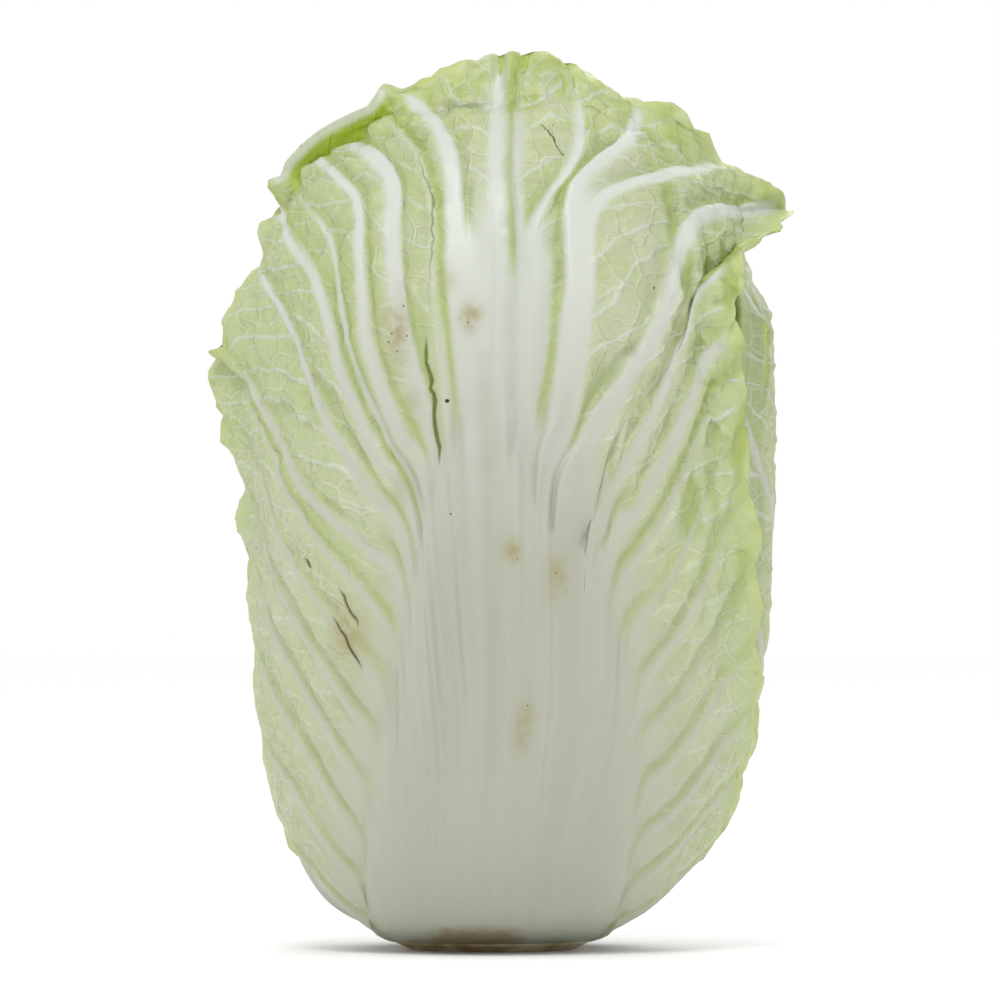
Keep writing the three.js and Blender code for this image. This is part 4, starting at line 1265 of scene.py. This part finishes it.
leafFinish = {
    "blade": colour(175, 182, 151),
    "bladePatch": colour(168, 177, 134),
    "greenBlade": colour(167, 179, 124),
    "lowBlade": colour(164, 169, 137),
    "crown": colour(166, 180, 100),
    "margin": colour(168, 182, 120),
    "edge": colour(172, 184, 114),
    "shade": colour(140, 152, 104),
    "netLine": colour(192, 198, 170),
    # groove: the blade's own green, darkened as painted shade in grooves, narrow crotches and fold valleys
    "groove": colour(142, 158, 72),
    "rib": colour(194, 198, 190),
    # lowRib: the rib's white with painted shade, darker towards the foot
    "lowRib": colour(174, 177, 161),
    "petiole": colour(189, 193, 184),
    # petioleFoot: the petiole's white with painted shade, darker towards the foot
    "petioleFoot": colour(164, 166, 151),
    # streakAndShade: the petiole's fibre streaks, and painted shade in the valleys between its flutes
    "streakAndShade": colour(158, 161, 144),
    # hollow and hollowRim: the underside's green with painted shade, hollow the darker tone deep in the fold,
    # hollowRim the paler tone towards the rim
    "hollow": colour(140, 160, 24),
    "hollowRim": colour(168, 186, 88),
    "innerFace": colour(152, 171, 65),
    "stain": colour(146, 138, 88),
    "foot": colour(122, 104, 62),
    # slit: painted shade in a tear's gap and painted shadow along the fold line; drySlit the brown of a dry
    # tear
    "slit": colour(92, 104, 34),
    "drySlit": colour(86, 76, 16),
    "speck": colour(84, 66, 34),
    "spot": colour(34, 28, 12),
    "netPerCm": 1.35,
    "fineNetPerCm": 4.2,
    "roughness": 0.4,
    "subsurface": 0.15,
    "subsurfaceRadius": (1.0, 1.0, 0.75),
    "subsurfaceScale": 0.003,
    "bumpStrength": 0.8,
    "bumpHeight": 0.0005,
    "blackSpot": (-13.5, 225),
}


def veinLines(bench, place):
    # the two nets, the branch veins, and the paler and greener patches of the blade
    maths, ranged, attribute = bench.maths, bench.ranged, bench.attribute
    bent = bench.shifted(place, bench.noise(place, 1.3).outputs["Color"], 0.3)
    phase = maths("SUBTRACT", maths("FRACT", attribute("climb")), 0.5)
    fromBranch = maths("SUBTRACT", 0.5, maths("ABSOLUTE", phase))
    return {
        "net": bench.netLines(bent, leafFinish["netPerCm"], 0.015, 0.085),
        "fineNet": bench.netLines(bent, leafFinish["fineNetPerCm"], 0.0, 0.14),
        "branch": bench.times(ranged(fromBranch, 0.015, 0.1, 1.0, 0.0),
                              ranged(attribute("branch"), 0.05, 0.5)),
        "patches": ranged(bench.noise(place, 0.55).outputs["Fac"], 0.35, 0.65),
    }


def bladeColour(bench, place, lines):
    times, ranged, attribute = bench.times, bench.ranged, bench.attribute
    onBlade, margin, hollow = attribute("net"), attribute("margin"), attribute("hollow")
    blotches = ranged(bench.noise(place, 1.1).outputs["Fac"], 0.36, 0.56)
    return bench.cover(leafFinish["blade"], (
        (lines["patches"], "bladePatch"),
        (attribute("green"), "greenBlade"),
        (attribute("flesh"), "lowBlade"),
        (times(attribute("crown"), blotches, 0.8), "crown"),
        (times(margin, 0.5), "margin"),
        (times(ranged(margin, 0.7, 0.98), 0.5), "edge"),
        (times(attribute("shade"), 0.55), "shade"),
        (times(lines["fineNet"], onBlade, 0.2), "netLine"),
        (times(lines["net"], onBlade, 0.38), "netLine"),
        (times(lines["branch"], 0.55), "rib"),
        (times(attribute("groove"), 0.85), "groove"),
        (ranged(hollow, 0.0, 0.5), "hollowRim"),
        (ranged(hollow, 0.4, 1.0), "hollow"),
        (times(attribute("rim"), 0.75), "rib"),
    ))


def whiteColour(bench, place, patches):
    # petiole and ribs, both darker towards the foot as painted shade of the light from above, the petiole
    # streaked, partly with painted shade in the valleys between its flutes
    times, ranged, attribute = bench.times, bench.ranged, bench.attribute
    high = bench.nodes.new("ShaderNodeSeparateXYZ")
    bench.links.new(place, high.inputs["Vector"])
    streaks = bench.noise(place, 1.1, 4.0, (1, 0.05, 1)).outputs["Fac"]
    petiole = bench.cover(leafFinish["petioleFoot"], (
        (ranged(high.outputs["Y"], 15.5, 28.5), "petiole"),
        (times(ranged(streaks, 0.42, 0.66), 0.35), "streakAndShade"),
        # painted shade in the valleys between the flutes raised along the lines
        (times(attribute("streakAndShade"), patches, 0.4), "streakAndShade"),
    ))
    rib = bench.cover(leafFinish["lowRib"], ((ranged(high.outputs["Y"], 19.0, 29.5), "rib"),))
    return bench.blend(attribute("petiole"), rib, petiole)


def fromBlackSpot(bench, place):
    away = bench.nodes.new("ShaderNodeVectorMath")
    away.operation = "DISTANCE"
    bench.links.new(place, away.inputs[0])
    angle, reach = leafFinish["blackSpot"]
    away.inputs[1].default_value = (angle * radians * flatRadius / 10, reach / 10, leaves[0]["seed"] / 10)
    return away.outputs["Value"]


def addWear(bench, place, skinColour):
    # stains, specks, the black spot, tears and the brown foot; the dark green in a tear is painted shade in
    # its gap, along the fold line a painted shadow, and brown where a tear is dry
    times, ranged, maths, attribute = bench.times, bench.ranged, bench.maths, bench.attribute
    stain, gape = attribute("stain"), attribute("gape")
    stainBreak = ranged(bench.noise(place, 2.2, 5.0).outputs["Fac"], 0.3, 0.62)
    stained = times(stain, maths("ADD", 0.35, times(stainBreak, 0.65)))
    close = ranged(bench.cells(place, 3.1).outputs["Distance"], 0.06, 0.13, 1.0, 0.0)
    rare = bench.cells(place, 0.42)
    rareSpecks = ranged(rare.outputs["Distance"], 0.014, 0.024, 1.0, 0.0)
    rareSpecks = times(rareSpecks, ranged(rare.outputs["Color"], 0.45, 0.5))
    specks = maths("MAXIMUM", times(close, ranged(stain, 0.12, 0.4)), rareSpecks)
    skinColour = bench.cover(skinColour, (
        (stained, "stain"),
        (times(specks, 0.92), "speck"),
        (ranged(fromBlackSpot(bench, place), 0.045, 0.08, 1.0, 0.0), "spot"),
    ))
    torn = maths("SUBTRACT", times(gape, 0.8), maths("ABSOLUTE", attribute("slit")))
    torn = times(ranged(torn, -0.35, 0.25), ranged(gape, 0.1, 0.5))
    tornColour = bench.cover(leafFinish["slit"], ((ranged(stain, 0.05, 0.2), "drySlit"),))
    skinColour = bench.blend(torn, skinColour, tornColour)
    footBreak = times(bench.noise(place, 1.8, 5.0).outputs["Fac"], 0.6)
    foot = ranged(maths("ADD", attribute("foot"), footBreak), 0.6, 1.3)
    return bench.cover(skinColour, ((times(foot, 0.8), "foot"),))


def addBump(bench, place, lines, skin):
    onBlade = bench.attribute("net")
    bump = bench.nodes.new("ShaderNodeBump")
    bump.inputs["Strength"].default_value = leafFinish["bumpStrength"]
    bump.inputs["Distance"].default_value = leafFinish["bumpHeight"]
    height = bench.times(bench.noise(place, 9.0, 3.0).outputs["Fac"], 0.3)
    for rise in (bench.times(lines["branch"], 0.5), bench.times(lines["net"], onBlade, 0.7),
                 bench.times(bench.noise(place, 3.4, 2.0).outputs["Fac"], onBlade, 1.3)):
        height = bench.maths("ADD", height, rise)
    bench.links.new(height, bump.inputs["Height"])
    bench.links.new(bump.outputs["Normal"], skin.inputs["Normal"])


def makeLeafMaterial():
    material, bench, skin = newMaterial("leafSkin")
    look = leafFinish
    place = bench.attribute("place", "Vector")
    lines = veinLines(bench, place)
    blade = bladeColour(bench, place, lines)
    white = whiteColour(bench, place, lines["patches"])
    skinColour = bench.blend(bench.ranged(bench.attribute("vein"), 0.1, 0.95), blade, white)
    innerFace = bench.cover(look["innerFace"], ((bench.times(lines["fineNet"], 0.25), "netLine"),))
    skinColour = bench.blend(bench.times(bench.attribute("inner"), 0.9), skinColour, innerFace)
    bench.links.new(addWear(bench, place, skinColour), skin.inputs["Base Color"])
    for socket, value in (("Roughness", "roughness"), ("Subsurface Weight", "subsurface"),
                          ("Subsurface Radius", "subsurfaceRadius"), ("Subsurface Scale", "subsurfaceScale")):
        skin.inputs[socket].default_value = look[value]
    skin.subsurface_method = "BURLEY"
    addBump(bench, place, lines, skin)
    return material


buttFinish = {
    "dry": colour(146, 124, 80),
    "pale": colour(186, 178, 148),
    "grain": 90,                   # swells a metre
    "change": (0.38, 0.62),
    "roughness": 0.6,
}


def makeButtMaterial():
    look = buttFinish
    material, bench, skin = newMaterial("cutStem")
    coordinates = bench.nodes.new("ShaderNodeTexCoord")
    noise = bench.nodes.new("ShaderNodeTexNoise")
    noise.inputs["Scale"].default_value = look["grain"]
    bench.links.new(coordinates.outputs["Object"], noise.inputs["Vector"])
    ramp = bench.nodes.new("ShaderNodeValToRGB")
    for element, tone, place in zip(ramp.color_ramp.elements, ("dry", "pale"), look["change"]):
        element.color = look[tone]
        element.position = place
    bench.links.new(noise.outputs["Fac"], ramp.inputs["Fac"])
    bench.links.new(ramp.outputs["Color"], skin.inputs["Base Color"])
    skin.inputs["Roughness"].default_value = look["roughness"]
    return material


floorFinish = {
    "pale": colour(254, 254, 254),
    "roughness": 0.9,
    "halfWidth": 6,                # metres
}


def makeFloorMaterial():
    material, _, skin = newMaterial("paleFloor")
    skin.inputs["Base Color"].default_value = floorFinish["pale"]
    skin.inputs["Roughness"].default_value = floorFinish["roughness"]
    return material


# ---- camera, lights and floor, in metres

view = {
    "distance": 3.2,
    "height": 0.145,
    "aimX": 0.0026,
    "frameWidth": 0.3233,
    "sensor": 36,                  # millimetres
}


def addCamera():
    camera = bpy.data.objects.new("camera", bpy.data.cameras.new("camera"))
    bpy.context.scene.collection.objects.link(camera)
    camera.location = (view["aimX"], -view["distance"], view["height"])
    camera.rotation_euler = (math.pi / 2, 0, 0)
    camera.data.sensor_width = view["sensor"]
    camera.data.lens = view["sensor"] * view["distance"] / view["frameWidth"]
    bpy.context.scene.camera = camera


lights = {
    "key": {"place": (-0.25, -1.3, 1.8), "size": 0.7, "power": 13.5},
    "back": {"place": (0.3, 1.2, 1.1), "size": 1.0, "power": 5},
}
lightsAim = (0, 0, 0.14)
studioLight = 1.0                  # strength of the plain white light from all sides


def addLights():
    for name, light in lights.items():
        data = bpy.data.lights.new(name, "AREA")
        data.energy = light["power"]
        data.size = light["size"]
        lamp = bpy.data.objects.new(name, data)
        bpy.context.scene.collection.objects.link(lamp)
        lamp.location = light["place"]
        toward = Vector(lightsAim) - Vector(light["place"])
        lamp.rotation_euler = toward.to_track_quat("-Z", "Y").to_euler()
    world = bpy.data.worlds.new("studio")
    world.use_nodes = True
    background = world.node_tree.nodes["Background"]
    background.inputs["Color"].default_value = (1, 1, 1, 1)
    background.inputs["Strength"].default_value = studioLight
    bpy.context.scene.world = world
    bpy.context.scene.view_settings.view_transform = "Standard"


def addFloor():
    bm = bmesh.new()
    bmesh.ops.create_grid(bm, x_segments=1, y_segments=1, size=floorFinish["halfWidth"])
    mesh = bpy.data.meshes.new("floor")
    bm.to_mesh(mesh)
    bm.free()
    mesh.materials.append(makeFloorMaterial())
    floor = bpy.data.objects.new("floor", mesh)
    bpy.context.scene.collection.objects.link(floor)


# ---- build

def handOver(piece, node):
    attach(piece, "root")
    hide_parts(node)
    print("made", node, len(piece.data.polygons))


addCamera()
addLights()
addFloor()
print("made camera, lights and floor")
prepareLeaves()
leafMaterial = makeLeafMaterial()
print("made the leaf skin's material")
for index, leaf in enumerate(leaves):
    handOver(makeLeaf(leaf, leaves[:index], leafMaterial), leaf["name"])
handOver(makeHeart(leafMaterial), "heart")
handOver(makeButt(makeButtMaterial()), "stem_butt")
